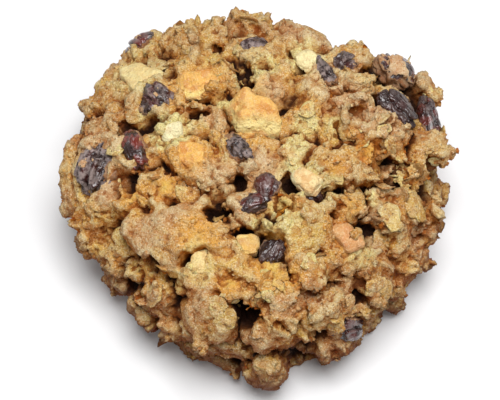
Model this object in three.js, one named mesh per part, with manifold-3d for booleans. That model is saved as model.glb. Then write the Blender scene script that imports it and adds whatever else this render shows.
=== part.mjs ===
// An oatmeal cranberry cookie: a thick, hand-dropped mound of craggy dough with rolled oats baked into it,
// dark dried cranberries and pale browned chips sitting in sockets in its surface, and a flat baked base.
// Units are millimetres, +Z is up, and the cookie rests on Z = 0 with its base centred on the origin.
import * as THREE from "three";
import { mergeVertices } from "three/addons/utils/BufferGeometryUtils.js";
import Module from "manifold-3d";

const wasm = await Module();
wasm.setup();

// ---------------------------------------------------------------- driving dimensions
const WIDTH = 95; // across the mound, X, before its clumps stand proud
const DEPTH = 96.5; // front to back, Y
const HEIGHT = 41; // base to crown
const WIDEST_AT = 11; // height at which the mound is widest
const FOOT_SHARE = 0.95; // radius of the foot as a share of the widest
const SHOULDER = 2.7; // superellipse power of the profile: 2 is a ball, more is boxier
const CREVICE_DEPTH = 7; // from the mound down to the floor between clumps
const CLUMP_POWER = 2.4; // superellipse power of a clump's dome
const FIT_GAP = 0.3; // clearance round a fruit or chip in its socket

const FLAKE_LENGTH = 7.5; // a rolled oat
const FLAKE_WIDTH = 5.6;
const FLAKE_THICKNESS = 1.1;
const FLAKE_SIDES = 7;
const FLAKE_COUNT = 25;
const FILLER_COUNT = 110; // small clumps placed by rule, not by hand

const RINGS = 32; // rings of facets over the dough, from crown to foot
const FRUIT_DETAIL = 1;
const CHIP_DETAIL = 1;

const DEGREE = Math.PI / 180;
const GOLDEN_ANGLE = Math.PI * (3 - Math.sqrt(5));

// The clumps are laid out as a viewer sees the cookie from the front and above, so each place is a distance
// to the right of and above the middle of that view.
const VIEW_ELEVATION = 62 * DEGREE;
const VIEW_DISTANCE = 400;
const VIEW_TARGET = new THREE.Vector3(-1.0, -2.8, 12);
const VIEW_RIGHT = new THREE.Vector3(1, 0, 0);
const VIEW_UP = new THREE.Vector3(0, Math.sin(VIEW_ELEVATION), Math.cos(VIEW_ELEVATION));
const VIEW_TOWARDS = new THREE.Vector3(0, -Math.cos(VIEW_ELEVATION), Math.sin(VIEW_ELEVATION));

// ---------------------------------------------------------------- what was dropped where
// Clumps of dough: [right, up, across, along, turn, lift]. The turn is in degrees, anticlockwise, and the
// lift is how far the clump's crown stands proud of the mound.
const CLUMPS = [
  // the back edge
  [-15.9, 42.2, 17, 10, -14, 1.6],
  [-14.4, 35.4, 18, 8, -6, 0.4],
  [-27.6, 39.0, 12, 7.5, 28, 0.2],
  [-1.8, 45.6, 10, 6, 5, 2.6],
  [-9.7, 43.8, 5, 4.5, 0, 0.8],
  [11.8, 42.6, 18, 10, -18, 1.8],
  [8.5, 41.0, 11, 7, -8, 2.2],
  [25.6, 36.9, 12, 5.5, -4, 0.8],
  [30.2, 37.2, 4.5, 3.5, 0, 2.0],
  [23.8, 31.2, 15, 10, -32, 0.6],
  [-5.1, 37.7, 8, 8, 0, -1.4],
  [5.9, 35.6, 12, 7, 6, -0.4],
  // the right side
  [43.0, 29.4, 5, 8, -8, 1.6],
  [37.4, 27.4, 9, 6, 0, -0.8],
  [45.1, 17.4, 8, 6.5, 0, 0.8],
  [32.3, 18.6, 20, 11, -10, 1.8],
  [44.1, 11.4, 13, 11, -20, 2.2],
  [36.7, 4.6, 13, 8, 0, -2.4],
  [34.4, -2.3, 15, 10, 4, 1.0],
  [43.0, -1.2, 12, 11, 0, 0.8],
  [46.6, -4.6, 6, 8, 0, 1.4],
  [39.2, -10.5, 14, 9, -28, 0.8],
  [44.4, -14.4, 8, 9, 0, 0.8],
  [39.6, -19.2, 8, 9, 0, 0.2],
  // the middle
  [4.6, 30.2, 10, 9, 20, 0.6],
  [14.9, 29.4, 14, 9, 0, 0],
  [25.6, 25.4, 11, 8, -15, 0.8],
  [12.3, 22.0, 13, 10, 10, 0.2],
  [21.3, 17.8, 14, 11, 0, 0.2],
  [12.3, 12.4, 14, 12, 20, 0.6],
  [24.6, 9.6, 18, 11, 6, 1.0],
  [3.3, 12.0, 12, 10, 0, 0],
  [-6.2, 27.0, 7, 10, -12, -2.0],
  [-9.5, 21.6, 13, 10, -15, 0.4],
  [-18.5, 23.4, 11, 8, 10, 0.4],
  [-14.4, 8.2, 16, 10, -20, 1.2],
  [-9.7, 2.0, 9, 7, 0, -2.2],
  [-2.6, -2.6, 8, 10, 20, 0.2],
  [25.0, -1.6, 13, 8, 0, 1.2],
  [11.3, -4.2, 18, 14, -15, 1.6],
  [14.9, -11.0, 17, 12, 0, 1.2],
  // the left side
  [-39.2, 27.0, 13, 12, 20, 0.8],
  [-39.5, 19.4, 15, 8, 8, 0.6],
  [-43.8, 14.8, 7, 6, 0, 1.0],
  [-35.9, 32.6, 7, 6, 40, 0],
  [-31.0, 22.0, 10, 9, 0, -0.4],
  [-34.6, 12.2, 13, 11, 15, 1.2],
  [-46.4, 6.0, 8, 13, 0, 2.0],
  [-40.0, -2.2, 19, 12, -8, 1.0],
  [-24.9, 4.0, 15, 9, 8, 0.4],
  [-31.3, -2.6, 9, 8, 0, 1.6],
  [-22.8, -8.8, 27, 16, -10, 2.4],
  // the front
  [-36.9, -14.9, 13, 10, -15, 0.4],
  [-35.0, -20.4, 7, 8, 0, 0.6],
  [-28.7, -18.4, 14, 10, -10, 0],
  [-26.7, -25.4, 14, 12, 0, 0.2],
  [-27.4, -30.0, 10, 5, 10, 2.2],
  [-22.6, -33.8, 9, 6, 0, 0.4],
  [-19.5, -21.8, 7, 8, 0, -0.8],
  [-9.7, -15.6, 21, 15, -20, 1.4],
  [-7.7, -23.3, 20, 12, -12, 1.2],
  [-12.0, -31.0, 16, 13, 0, 3.0],
  [16.2, -17.0, 13, 10, 15, 1.8],
  [23.0, -16.4, 14, 7, 22, -0.2],
  [32.3, -16.2, 13, 9, 0, -0.2],
  [33.8, -22.3, 10, 11, 0, 0.8],
  [6.7, -22.3, 18, 12, -15, 1.2],
  [9.2, -27.6, 13, 9, -10, 1.8],
  [17.9, -27.4, 11, 10, 0, 1.4],
  [23.8, -25.4, 9, 9, 0, -0.6],
  [3.1, -35.1, 12.5, 12, 0, 1.6],
  // the foot
  [31.8, -27.8, 12, 10, 0, 0.6],
  [37.6, -27.4, 5, 4.5, 0, 1.6],
  [25.6, -32.6, 10, 10, 0, -0.2],
  [3.8, -43.6, 13, 9, 0, 3.2],
  [13.3, -37.7, 16, 9, 10, 0],
  [21.2, -36.8, 10, 7, -20, 1.2],
  [-9.5, -39.0, 21, 7, 0, 0],
  [-15.6, -40.4, 9, 5, 0, 1.0],
];

// Cracks and holes between them: [right, up, across, along, turn, depth].
const CRACKS = [
  [-33.8, 18.0, 8.5, 3.0, 8, 7],
  [-11.3, 25.6, 12, 2.2, -8, 6],
  [-0.5, 31.0, 8, 3.4, 25, 7],
  [10.5, 38.0, 2.8, 2.4, 0, 5],
  [25.6, 21.0, 5, 2.8, 30, 6],
  [15.4, 1.6, 12, 3.2, -15, 7],
  [26.0, 2.4, 13, 2.4, 4, 6],
  [38.0, 5.6, 7, 4.5, 20, 5],
  [-26.2, -2.8, 4.4, 2.8, 0, 6],
  [-20.5, -0.8, 6.5, 2.0, 8, 6],
  [-10.0, -2.8, 7, 3.6, 0, 8],
  [-4.9, 3.0, 4.4, 2.4, 20, 6],
  [-0.5, -7.7, 8, 3.4, -5, 8],
  [-16.4, -16.2, 5.4, 2.8, 25, 7],
  [-27.5, -15.0, 15, 2.2, -4, 5],
  [-1.3, -29.0, 6.4, 6.4, 0, 9],
  [21.0, -21.8, 7.5, 3.2, 0, 6],
  [27.4, -26.0, 3.8, 3.2, 0, 5],
  [45.8, 5.2, 8, 4, 12, 8],
  [31.5, 37.0, 6, 5, -50, 6],
  [-6.0, -43.5, 8, 6, 10, 4.5],
];

// Dried cranberries: [name, right, up, across, along, turn, lift].
const CRANBERRIES = [
  ["top_right_corner", 36.9, 32.6, 10.6, 7.6, -18, 3.2],
  ["top_right_long", 36.9, 23.2, 13.6, 6.8, -42, 3.0],
  ["right_edge", 44.8, 21.3, 6.2, 8.2, 10, 3.0],
  ["back_left", -28.2, 39.4, 9.6, 6.2, 28, 2.8],
  ["back_middle", 0.6, 39.4, 8.8, 5.6, 35, 1.6],
  ["back_right", 23.8, 35.8, 6.8, 5.2, -30, 2.0],
  ["upper_left", -24.9, 26.2, 11.0, 9.0, 40, 2.8],
  ["upper_right_streak", 19.4, 32.6, 5.2, 8.4, 25, 1.6],
  ["middle_dusty", -3.1, 13.4, 7.6, 9.6, 35, 1.8],
  ["centre_upper", 3.9, 4.2, 6.0, 7.2, -10, 1.0],
  ["centre_lower", 0.6, -0.8, 8.6, 5.8, 25, 1.0],
  ["left_big", -40.6, 7.8, 11.4, 12.2, -20, 3.4],
  ["left_crescent", -30.6, 12.8, 6.4, 9.4, 20, 2.2],
  ["lower_middle", 5.4, -13.2, 7.0, 7.6, -40, 0.6],
  ["lower_right", 25.6, -33.6, 8.0, 8.2, 40, 2.4],
  ["middle_crack", 15.4, 1.6, 6.2, 5.2, 0, -0.6],
];

// Pale browned chips: [name, right, up, across, along, turn, lift].
const CHIPS = [
  ["upper_left", -29.7, 32.4, 11.8, 9.4, 35, 1.4],
  ["upper_middle", -14.0, 29.0, 12.6, 7.0, 4, 2.4],
  ["left_of_middle", -20.8, 17.4, 7.0, 6.2, 0, 1.8],
  ["largest", 0.3, 21.8, 13.6, 11.8, 20, 3.0],
  ["back_right", 14.1, 36.6, 8.0, 5.4, 25, 2.0],
  ["middle_right", 13.4, 4.8, 9.8, 5.8, -30, 2.0],
  ["centre_left", -17.0, 11.6, 10.0, 8.0, -12, 2.6],
  ["lower_middle", -1.6, -11.2, 6.0, 5.6, 0, 2.4],
  ["lower_left", -13.2, -16.4, 5.4, 8.2, 0, 2.8],
  ["wedge", 24.4, -9.8, 7.4, 9.8, 35, 2.2],
];

// ---------------------------------------------------------------- uneven numbers by rule
// Evenly spread fractions that never line up: step i of the sequence whose stride is row k.
const STRIDES = [0.7548776662, 0.5698402909, 0.8191725134, 0.6710436067, 0.5497004779];
const share = (i, k) => (0.5 + (i + 1) * STRIDES[k]) % 1;

// A restless field between about -1 and 1: three crossing waves of about one wavelength.
const TWO_PI = 2 * Math.PI;
function ripple(p, wavelength, phase) {
  const k = TWO_PI / wavelength;
  const a = Math.sin(k * (0.82 * p.x + 0.41 * p.y + 0.39 * p.z) + phase);
  const b = Math.sin(k * (-0.37 * p.x + 0.79 * p.y - 0.49 * p.z) + 1.7 * phase + 2.1 * a);
  const c = Math.sin(k * (0.43 * p.x - 0.46 * p.y + 0.77 * p.z) - 1.3 * phase + 1.6 * b);
  return (a + b + c) / 3;
}

// ---------------------------------------------------------------- the mound
// How far the plan swells or draws in at an azimuth: waves with 2 to 5 swells round it, [share, phase].
const PLAN_WAVES = [[0.027, 0.71], [0.042, -1.43], [0.022, -0.82], [0.016, 3.12]];
function planWaver(azimuth) {
  return PLAN_WAVES.reduce((sum, [size, phase], i) => sum + size * Math.cos((i + 2) * azimuth + phase), 1);
}

// How far the wall draws in below its widest height.
function wallShare(height) {
  const below = Math.max(0, WIDEST_AT - height) / WIDEST_AT;
  return 1 - (1 - FOOT_SHARE) * below * below;
}

// Below 0 inside the mound, above 0 outside.
function moundField(p) {
  const above = Math.max(0, p.z - WIDEST_AT) / (HEIGHT - WIDEST_AT);
  const swell = planWaver(Math.atan2(p.y, p.x)) * wallShare(p.z);
  const out = Math.hypot(p.x / (WIDTH / 2), p.y / (DEPTH / 2)) / swell;
  return out ** SHOULDER + above ** SHOULDER - 1;
}

// The outward direction at a point of the mound, from the field's slope.
function moundNormal(p) {
  const step = 0.05;
  const slope = (axis) => {
    const ahead = p.clone().setComponent(axis, p.getComponent(axis) + step);
    const behind = p.clone().setComponent(axis, p.getComponent(axis) - step);
    return moundField(ahead) - moundField(behind);
  };
  return new THREE.Vector3(slope(0), slope(1), slope(2)).normalize();
}

// The profile from crown to foot, carried on below the base plane, with the surface area reached so far.
const BELOW_BASE = -2;
const PROFILE_STEPS = 240;
const profile = [];
for (let i = 0; i <= PROFILE_STEPS; i++) {
  const tilt = (Math.PI / 2) * (1 - i / PROFILE_STEPS);
  const height = WIDEST_AT + (HEIGHT - WIDEST_AT) * Math.sin(tilt) ** (2 / SHOULDER);
  profile.push({ radius: Math.abs(Math.cos(tilt)) ** (2 / SHOULDER), height, area: 0 });
}
for (let i = 1; i <= PROFILE_STEPS / 8; i++) {
  const height = WIDEST_AT + ((BELOW_BASE - WIDEST_AT) * i) / (PROFILE_STEPS / 8);
  profile.push({ radius: wallShare(height), height, area: 0 });
}
for (let i = 1; i < profile.length; i++) {
  const [from, to] = [profile[i - 1], profile[i]];
  const length = Math.hypot(((to.radius - from.radius) * WIDTH) / 2, to.height - from.height);
  to.area = from.area + (length * (to.radius + from.radius)) / 2;
}

// The mound's point at an azimuth and a share of the surface area counted down from the crown.
function moundPoint(azimuth, areaShare) {
  const wanted = areaShare * profile.at(-1).area;
  const next = Math.max(1, profile.findIndex((row) => row.area >= wanted));
  const [from, to] = [profile[next - 1], profile[next]];
  const blend = (wanted - from.area) / (to.area - from.area);
  const radius = (from.radius + blend * (to.radius - from.radius)) * planWaver(azimuth);
  return new THREE.Vector3(
    (radius * Math.cos(azimuth) * WIDTH) / 2,
    (radius * Math.sin(azimuth) * DEPTH) / 2,
    from.height + blend * (to.height - from.height),
  );
}

// The point of the mound seen at a place in the view: where the line of sight first meets it, or passes it
// most closely.
function seenPoint(right, up) {
  const eye = VIEW_TARGET.clone().addScaledVector(VIEW_TOWARDS, VIEW_DISTANCE);
  const inView = VIEW_TARGET.clone().addScaledVector(VIEW_RIGHT, right).addScaledVector(VIEW_UP, up);
  const sight = inView.sub(eye);
  const steps = 400;
  let best = 0;
  let least = Infinity;
  for (let i = 0; i <= steps && least > 0; i++) {
    const reach = 0.82 + (0.3 * i) / steps;
    const field = moundField(eye.clone().addScaledVector(sight, reach));
    if (field < least) [least, best] = [field, reach];
  }
  return eye.addScaledVector(sight, best);
}

// A place on the mound with its outward direction and the directions across and along it, turned from the
// viewer's right.
function placeOn(point, turn) {
  const outwards = moundNormal(point);
  const across = VIEW_RIGHT.clone().addScaledVector(outwards, -VIEW_RIGHT.dot(outwards));
  if (across.lengthSq() < 1e-3) across.set(0, 1, 0).addScaledVector(outwards, -outwards.y);
  across.normalize().applyAxisAngle(outwards, turn);
  return { point, outwards, across, along: outwards.clone().cross(across) };
}

// A length along the view's up direction covers more of a slope, because the viewer sees it foreshortened.
const LEAST_FACING = 0.62;
function seenPlace(right, up, across, along, turn) {
  const place = placeOn(seenPoint(right, up), turn * DEGREE);
  const facing = Math.max(LEAST_FACING, place.outwards.dot(VIEW_TOWARDS));
  return { ...place, halfAcross: across / 2, halfAlong: along / facing / 2 };
}

// ---------------------------------------------------------------- the relief
const CLUMP_GROWTH = 1.06; // clumps press against each other
const DOME_SHARE = 1.05; // height of a clump's dome as a share of its lesser half-width

function clumpPlace([right, up, across, along, turn, lift]) {
  const place = seenPlace(right, up, across * CLUMP_GROWTH, along * CLUMP_GROWTH, turn);
  return { ...place, lift, dome: DOME_SHARE * Math.min(place.halfAcross, place.halfAlong) };
}

// Small clumps all over: sunk between the others where the viewer sees them, and full height elsewhere.
const FILLER_SIZE = [9, 16];
function fillerPlace(i) {
  const point = moundPoint(GOLDEN_ANGLE * i, ((i + 0.5) / FILLER_COUNT) * 0.97);
  const place = placeOn(point, TWO_PI * share(i, 0));
  const inSight = place.outwards.dot(VIEW_TOWARDS) > 0.2;
  const halfAcross = (FILLER_SIZE[0] + (FILLER_SIZE[1] - FILLER_SIZE[0]) * share(i, 1)) / 2;
  const halfAlong = halfAcross * (0.66 + 0.3 * share(i, 2));
  const lift = inSight ? -3.8 + 1.6 * share(i, 3) : -0.8 + 2.4 * share(i, 3);
  return { ...place, halfAcross, halfAlong, lift, dome: DOME_SHARE * halfAlong };
}

const clumps = CLUMPS.map(clumpPlace);
for (let i = 0; i < FILLER_COUNT; i++) clumps.push(fillerPlace(i));

const cracks = CRACKS.map(([right, up, across, along, turn, depth]) => ({
  ...seenPlace(right, up, across, along, turn),
  depth,
}));

// Each piece lies in a well, so that the dough rises round it and doesn't cover it.
const FRUIT_DEPTH_SHARE = 0.9; // thickness as a share of the lesser width
const CHIP_DEPTH_SHARE = 0.8;
function inclusionPlace([name, right, up, across, along, turn, lift], depthShare) {
  const place = seenPlace(right, up, across, along, turn);
  return { ...place, name, lift, deep: depthShare * Math.min(across, along) };
}
const fruit = CRANBERRIES.map((row) => inclusionPlace(row, FRUIT_DEPTH_SHARE));
const chips = CHIPS.map((row) => inclusionPlace(row, CHIP_DEPTH_SHARE));

// Distance from a place's middle, as a share of its half-widths.
function spanShare(place, p) {
  const offset = p.clone().sub(place.point);
  return Math.hypot(offset.dot(place.across) / place.halfAcross, offset.dot(place.along) / place.halfAlong);
}

const FOOT_SPREAD = 12; // below this height the dough has spread on the tray, and crevices are shallower
const WELL_RISE = 14; // how steeply a well's wall climbs per share of its width
const WELL_FLOOR = 0.55; // depth of a well below its piece's crown, as a share of the piece's thickness

// Height of the dough above the mound, along the mound's outward direction.
function reliefAt(p, outwards) {
  const bend = new THREE.Vector3(ripple(p, 11, 0.4), ripple(p, 11, 2.9), ripple(p, 11, 5.3));
  const fray = new THREE.Vector3(ripple(p, 6.4, 1.4), ripple(p, 6.4, 3.9), ripple(p, 6.4, 6.3));
  const warped = p.clone().addScaledVector(bend, 1.5).addScaledVector(fray, 0.6);
  const raised = Math.min(1, Math.max(0, p.z / FOOT_SPREAD));
  let height = -CREVICE_DEPTH * (0.4 + 0.6 * raised);
  for (const clump of clumps) {
    if (outwards.dot(clump.outwards) < 0.3) continue;
    const q = spanShare(clump, warped);
    if (q >= 1) continue;
    const fall = 1 - (1 - q ** CLUMP_POWER) ** (1 / CLUMP_POWER);
    height = Math.max(height, clump.lift - clump.dome * fall);
  }
  height += 0.5 * ripple(p, 7.0, 0.9);
  for (const crack of cracks) {
    const q = spanShare(crack, warped);
    height = Math.min(height, -crack.depth + 5 * crack.depth * Math.max(0, q - 0.8));
  }
  for (const piece of [...fruit, ...chips]) {
    if (outwards.dot(piece.outwards) < 0.3) continue;
    const q = spanShare(piece, p);
    height = Math.min(height, piece.lift - WELL_FLOOR * piece.deep + WELL_RISE * Math.max(0, q - 0.92));
  }
  return height;
}

// The dough's surface at an azimuth and a share of the mound's area.
function doughPoint(azimuth, areaShare) {
  const point = moundPoint(azimuth, areaShare);
  const outwards = moundNormal(point);
  return point.addScaledVector(outwards, reliefAt(point.clone(), outwards));
}

// ---------------------------------------------------------------- joining and cutting
// A bare geometry with its shared vertices merged.
function mergedGeometry(geometry) {
  geometry.deleteAttribute("normal");
  geometry.deleteAttribute("uv");
  return mergeVertices(geometry, 1e-4);
}

// A closed geometry as a solid. Its faces are turned round if they point inwards.
function solidOf(geometry) {
  const vertProperties = geometry.getAttribute("position").array;
  const faces = new Uint32Array(geometry.index.array);
  const make = (triVerts) => new wasm.Manifold(new wasm.Mesh({ numProp: 3, vertProperties, triVerts }));
  const solid = make(faces);
  if (solid.volume() > 0) return solid;
  for (let i = 0; i < faces.length; i += 3) [faces[i + 1], faces[i + 2]] = [faces[i + 2], faces[i + 1]];
  return make(faces);
}

function geometryOf(solid) {
  const mesh = solid.getMesh();
  const geometry = new THREE.BufferGeometry();
  geometry.setAttribute("position", new THREE.BufferAttribute(new Float32Array(mesh.vertProperties), 3));
  geometry.setIndex(new THREE.BufferAttribute(new Uint32Array(mesh.triVerts), 1));
  return geometry;
}

// The one largest body of a solid: loose scraps are dropped, and sealed hollows with them.
function largestBody(solid) {
  return solid.decompose().reduce((most, body) => (body.volume() > most.volume() ? body : most));
}

// A place's frame as a matrix, moved outwards by a height.
function frameOf(place, height) {
  const centre = place.point.clone().addScaledVector(place.outwards, height);
  return new THREE.Matrix4().makeBasis(place.across, place.along, place.outwards).setPosition(centre);
}

// ---------------------------------------------------------------- the dough
// The skin in hexagonal rings from the crown to below the base plane. Ring i has 6 i points and encloses a
// share of the area that grows with the square of i, so the facets come out alike. A fan closes it underneath,
// where the tray cuts it flat.
function doughBlank() {
  const points = [];
  const faces = [];
  const indexAt = (ring, k) => (ring === 0 ? 0 : 1 + 3 * ring * (ring - 1) + (k % (6 * ring)));
  for (let ring = 0; ring <= RINGS; ring++) {
    const count = Math.max(1, 6 * ring);
    for (let k = 0; k < count; k++) {
      points.push(...doughPoint((TWO_PI * k) / count, (ring / RINGS) ** 2).toArray());
    }
  }
  const under = points.length / 3;
  points.push(0, 0, BELOW_BASE);
  for (let ring = 1; ring <= RINGS; ring++) {
    for (let k = 0; k < 6 * ring; k++) {
      const sector = Math.floor(k / ring);
      const inner = sector * (ring - 1) + (k % ring);
      faces.push(indexAt(ring - 1, inner), indexAt(ring, k), indexAt(ring, k + 1));
      if (k % ring < ring - 1) faces.push(indexAt(ring - 1, inner), indexAt(ring, k + 1), indexAt(ring - 1, inner + 1));
    }
  }
  for (let k = 0; k < 6 * RINGS; k++) faces.push(indexAt(RINGS, k + 1), indexAt(RINGS, k), under);
  const blank = new THREE.BufferGeometry();
  blank.setAttribute("position", new THREE.Float32BufferAttribute(points, 3));
  blank.setIndex(faces);
  return solidOf(blank);
}

// A rolled oat: a thin oval disc with a wavy edge, bent like a shallow saddle.
function flakeGeometry(i) {
  const flake = mergedGeometry(new THREE.CylinderGeometry(1, 1, 1, FLAKE_SIDES, 1));
  const place = flake.getAttribute("position");
  const size = 0.8 + 0.4 * share(i, 4);
  for (let j = 0; j < place.count; j++) {
    const angle = Math.atan2(place.getZ(j), place.getX(j));
    const reach = Math.hypot(place.getX(j), place.getZ(j));
    const edge = size * (1 + 0.1 * Math.sin(3 * angle + i) + 0.06 * Math.sin(5 * angle - 2 * i));
    const x = (Math.cos(angle) * reach * edge * FLAKE_LENGTH) / 2;
    const y = (Math.sin(angle) * reach * edge * FLAKE_WIDTH) / 2;
    const bend = 0.035 * (x * x - 1.4 * y * y);
    place.setXYZ(j, x, y, bend - place.getY(j) * FLAKE_THICKNESS);
  }
  return flake;
}

// Rolled oats all over, half sunk and tipped at odd angles, so that some show an edge.
const FLAKE_LEAN = 0.8;
function flakeSolid(i) {
  const point = moundPoint(GOLDEN_ANGLE * i + 1.2, ((i + 0.5) / FLAKE_COUNT) * 0.93);
  const outwards = moundNormal(point);
  const height = reliefAt(point, outwards);
  const lean = new THREE.Vector3(share(i, 0) - 0.5, share(i, 1) - 0.5, share(i, 2) - 0.5);
  const place = placeOn(point, TWO_PI * share(i, 3));
  place.outwards.addScaledVector(lean, FLAKE_LEAN).normalize();
  place.across.addScaledVector(place.outwards, -place.across.dot(place.outwards)).normalize();
  place.along.copy(place.outwards).cross(place.across);
  return solidOf(flakeGeometry(i).applyMatrix4(frameOf(place, height + 0.2)));
}

// ---------------------------------------------------------------- fruit and chips
// A piece: a ball made rough by ripples. Power 1 is round, and less makes it blocky.
function pieceGeometry(place, detail, power, phase) {
  const piece = mergedGeometry(new THREE.IcosahedronGeometry(1, detail));
  const position = piece.getAttribute("position");
  const v = new THREE.Vector3();
  for (let i = 0; i < position.count; i++) {
    v.fromBufferAttribute(position, i).normalize();
    const swell = 1 + 0.1 * ripple(v, 2.2, phase);
    const blocky = [v.x, v.y, v.z].map((value) => Math.sign(value) * Math.abs(value) ** power);
    position.setXYZ(
      i,
      blocky[0] * swell * place.halfAcross,
      blocky[1] * swell * place.halfAlong,
      (blocky[2] * swell * place.deep) / 2,
    );
  }
  return piece;
}

// The piece and the socket cut for it, which is the same shape grown by the gap.
function inclusion(place, detail, power, phase) {
  const shape = pieceGeometry(place, detail, power, phase);
  const frame = frameOf(place, place.lift - place.deep / 2);
  const grow = (half) => (half + FIT_GAP) / half;
  const socket = shape
    .clone()
    .scale(grow(place.halfAcross), grow(place.halfAlong), grow(place.deep / 2));
  return {
    name: place.name,
    body: solidOf(shape.applyMatrix4(frame)),
    socket: solidOf(socket.applyMatrix4(frame)),
  };
}
const FRUIT_POWER = 1;
const CHIP_POWER = 0.7;
const cranberries = fruit.map((place, i) => inclusion(place, FRUIT_DETAIL, FRUIT_POWER, i));
const paleChips = chips.map((place, i) => inclusion(place, CHIP_DETAIL, CHIP_POWER, 2 * i));

// Where two pieces press together, the later one gives way to the earlier one's socket.
const pieces = [...cranberries, ...paleChips];
pieces.forEach((piece, i) => {
  for (const earlier of pieces.slice(0, i)) piece.body = largestBody(piece.body.subtract(earlier.socket));
});

// ---------------------------------------------------------------- assembly
const flakes = Array.from({ length: FLAKE_COUNT }, (_, i) => flakeSolid(i));
const tray = solidOf(mergedGeometry(new THREE.BoxGeometry(3 * WIDTH, 3 * WIDTH, WIDTH)).translate(0, 0, -WIDTH / 2));
const sockets = wasm.Manifold.union(pieces.map((piece) => piece.socket));
const dough = largestBody(wasm.Manifold.union([doughBlank(), ...flakes]).subtract(tray).subtract(sockets));

const doughFinish = new THREE.MeshStandardMaterial({ color: 0xc08a4e, roughness: 0.9, metalness: 0 });
const fruitFinish = new THREE.MeshStandardMaterial({ color: 0x3a1a1e, roughness: 0.45, metalness: 0 });
const chipFinish = new THREE.MeshStandardMaterial({ color: 0xe2c078, roughness: 0.6, metalness: 0 });

function named(name, solid, finish) {
  const mesh = new THREE.Mesh(geometryOf(solid), finish);
  mesh.name = name;
  return mesh;
}

const cookie = new THREE.Group();
cookie.add(named("dough", dough, doughFinish));
for (const piece of cranberries) cookie.add(named(`cranberry_${piece.name}`, piece.body, fruitFinish));
for (const piece of paleChips) cookie.add(named(`chip_${piece.name}`, piece.body, chipFinish));

// The base is centred on the origin.
const box = new THREE.Box3().setFromObject(cookie);
cookie.position.set(-(box.min.x + box.max.x) / 2, -(box.min.y + box.max.y) / 2, 0);

export default cookie;
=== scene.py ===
# %% [markdown]
# # An oatmeal cranberry cookie
# The cookie is a thick mound of dough that was dropped on a tray by hand and baked. Its top is a heap of
# lumps with deep gaps between them, rolled oats are baked into it, and dark dried cranberries and pale
# chips sit in its surface. This script dresses the frame's plain solids with all of that.

# %% Load the frame
import itertools
import math
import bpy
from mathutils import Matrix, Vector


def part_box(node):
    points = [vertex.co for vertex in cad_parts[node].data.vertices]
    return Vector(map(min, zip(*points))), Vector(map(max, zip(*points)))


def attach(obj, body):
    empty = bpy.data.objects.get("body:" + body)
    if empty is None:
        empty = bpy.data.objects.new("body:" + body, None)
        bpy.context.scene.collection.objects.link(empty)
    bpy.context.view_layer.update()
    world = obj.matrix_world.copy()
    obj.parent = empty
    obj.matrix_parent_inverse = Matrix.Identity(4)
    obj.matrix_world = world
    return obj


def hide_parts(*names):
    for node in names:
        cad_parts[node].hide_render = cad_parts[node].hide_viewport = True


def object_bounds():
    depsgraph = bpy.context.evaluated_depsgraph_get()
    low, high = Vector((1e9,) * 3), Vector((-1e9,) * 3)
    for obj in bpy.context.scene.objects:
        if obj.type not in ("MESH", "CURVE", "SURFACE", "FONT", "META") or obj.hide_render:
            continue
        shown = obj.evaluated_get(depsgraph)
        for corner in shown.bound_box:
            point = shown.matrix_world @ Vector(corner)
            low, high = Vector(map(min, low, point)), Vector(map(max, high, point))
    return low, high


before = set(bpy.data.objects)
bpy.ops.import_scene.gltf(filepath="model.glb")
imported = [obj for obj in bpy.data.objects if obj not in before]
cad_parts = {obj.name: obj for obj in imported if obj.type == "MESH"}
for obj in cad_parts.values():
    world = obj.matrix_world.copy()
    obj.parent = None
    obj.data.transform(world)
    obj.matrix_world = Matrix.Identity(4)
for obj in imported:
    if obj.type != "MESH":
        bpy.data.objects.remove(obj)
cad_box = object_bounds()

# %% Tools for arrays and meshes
from types import SimpleNamespace

import bpy
import numpy as np
from mathutils import Vector

MM = 0.001
TAU = 2 * math.pi
print("nodes in the frame:", len(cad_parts))

# %% [markdown]
# ## The mound
# Every lump, flake and fruit sits on one smooth mound, so the mound comes first. It could be a sphere
# that is squashed by hand, but a formula also gives the outward direction anywhere on it, which all the
# later steps need. The profile is a superellipse: 2 would make it a ball, and more makes the top flatter
# and the wall steeper. The plan swells a little at a few azimuths, as a hand-dropped cookie does.

# %% Sizes of the mound, in millimetres
WIDTH = 95.0
DEPTH = 96.5
HEIGHT = 41.0
WIDEST_AT = 11.0
FOOT_SHARE = 0.95
SHOULDER = 2.7
PLAN_WAVES = ((0.027, 0.71), (0.042, -1.43), (0.022, -0.82), (0.016, 3.12))


def plan_waver(azimuth):
    """1 plus a cosine with 2, 3, 4 and 5 swells round the plan."""
    return 1 + sum(size * np.cos((i + 2) * azimuth + phase) for i, (size, phase) in enumerate(PLAN_WAVES))


def wall_share(height):
    """Radius as a share of the widest: 1 above WIDEST_AT, and less by the square of the way below it."""
    below = np.clip((WIDEST_AT - height) / WIDEST_AT, 0, 2)
    return 1 - (1 - FOOT_SHARE) * below**2


def mound_field(p):
    """Superellipse in radius and height: below 0 inside, 0 on the surface, above 0 outside."""
    above = np.maximum(0, p[..., 2] - WIDEST_AT) / (HEIGHT - WIDEST_AT)
    swell = plan_waver(np.arctan2(p[..., 1], p[..., 0])) * wall_share(p[..., 2])
    out = np.hypot(p[..., 0] / (WIDTH / 2), p[..., 1] / (DEPTH / 2)) / swell
    return out**SHOULDER + above**SHOULDER - 1


def mound_slope(p, step=0.05):
    """The field's rise per millimetre along X, Y and Z."""
    rises = [mound_field(p + step * axis) - mound_field(p - step * axis) for axis in np.eye(3)]
    return np.stack(rises, axis=-1) / (2 * step)


def unit(v):
    """Vectors scaled to length 1."""
    return v / np.linalg.norm(v, axis=-1, keepdims=True)


def onto_mound(p, steps=5):
    """Newton's steps down the field's slope, until the point lies on the surface."""
    for _ in range(steps):
        slope = mound_slope(p)
        p = p - slope * (mound_field(p) / np.sum(slope**2, axis=-1))[..., None]
    return p


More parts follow.
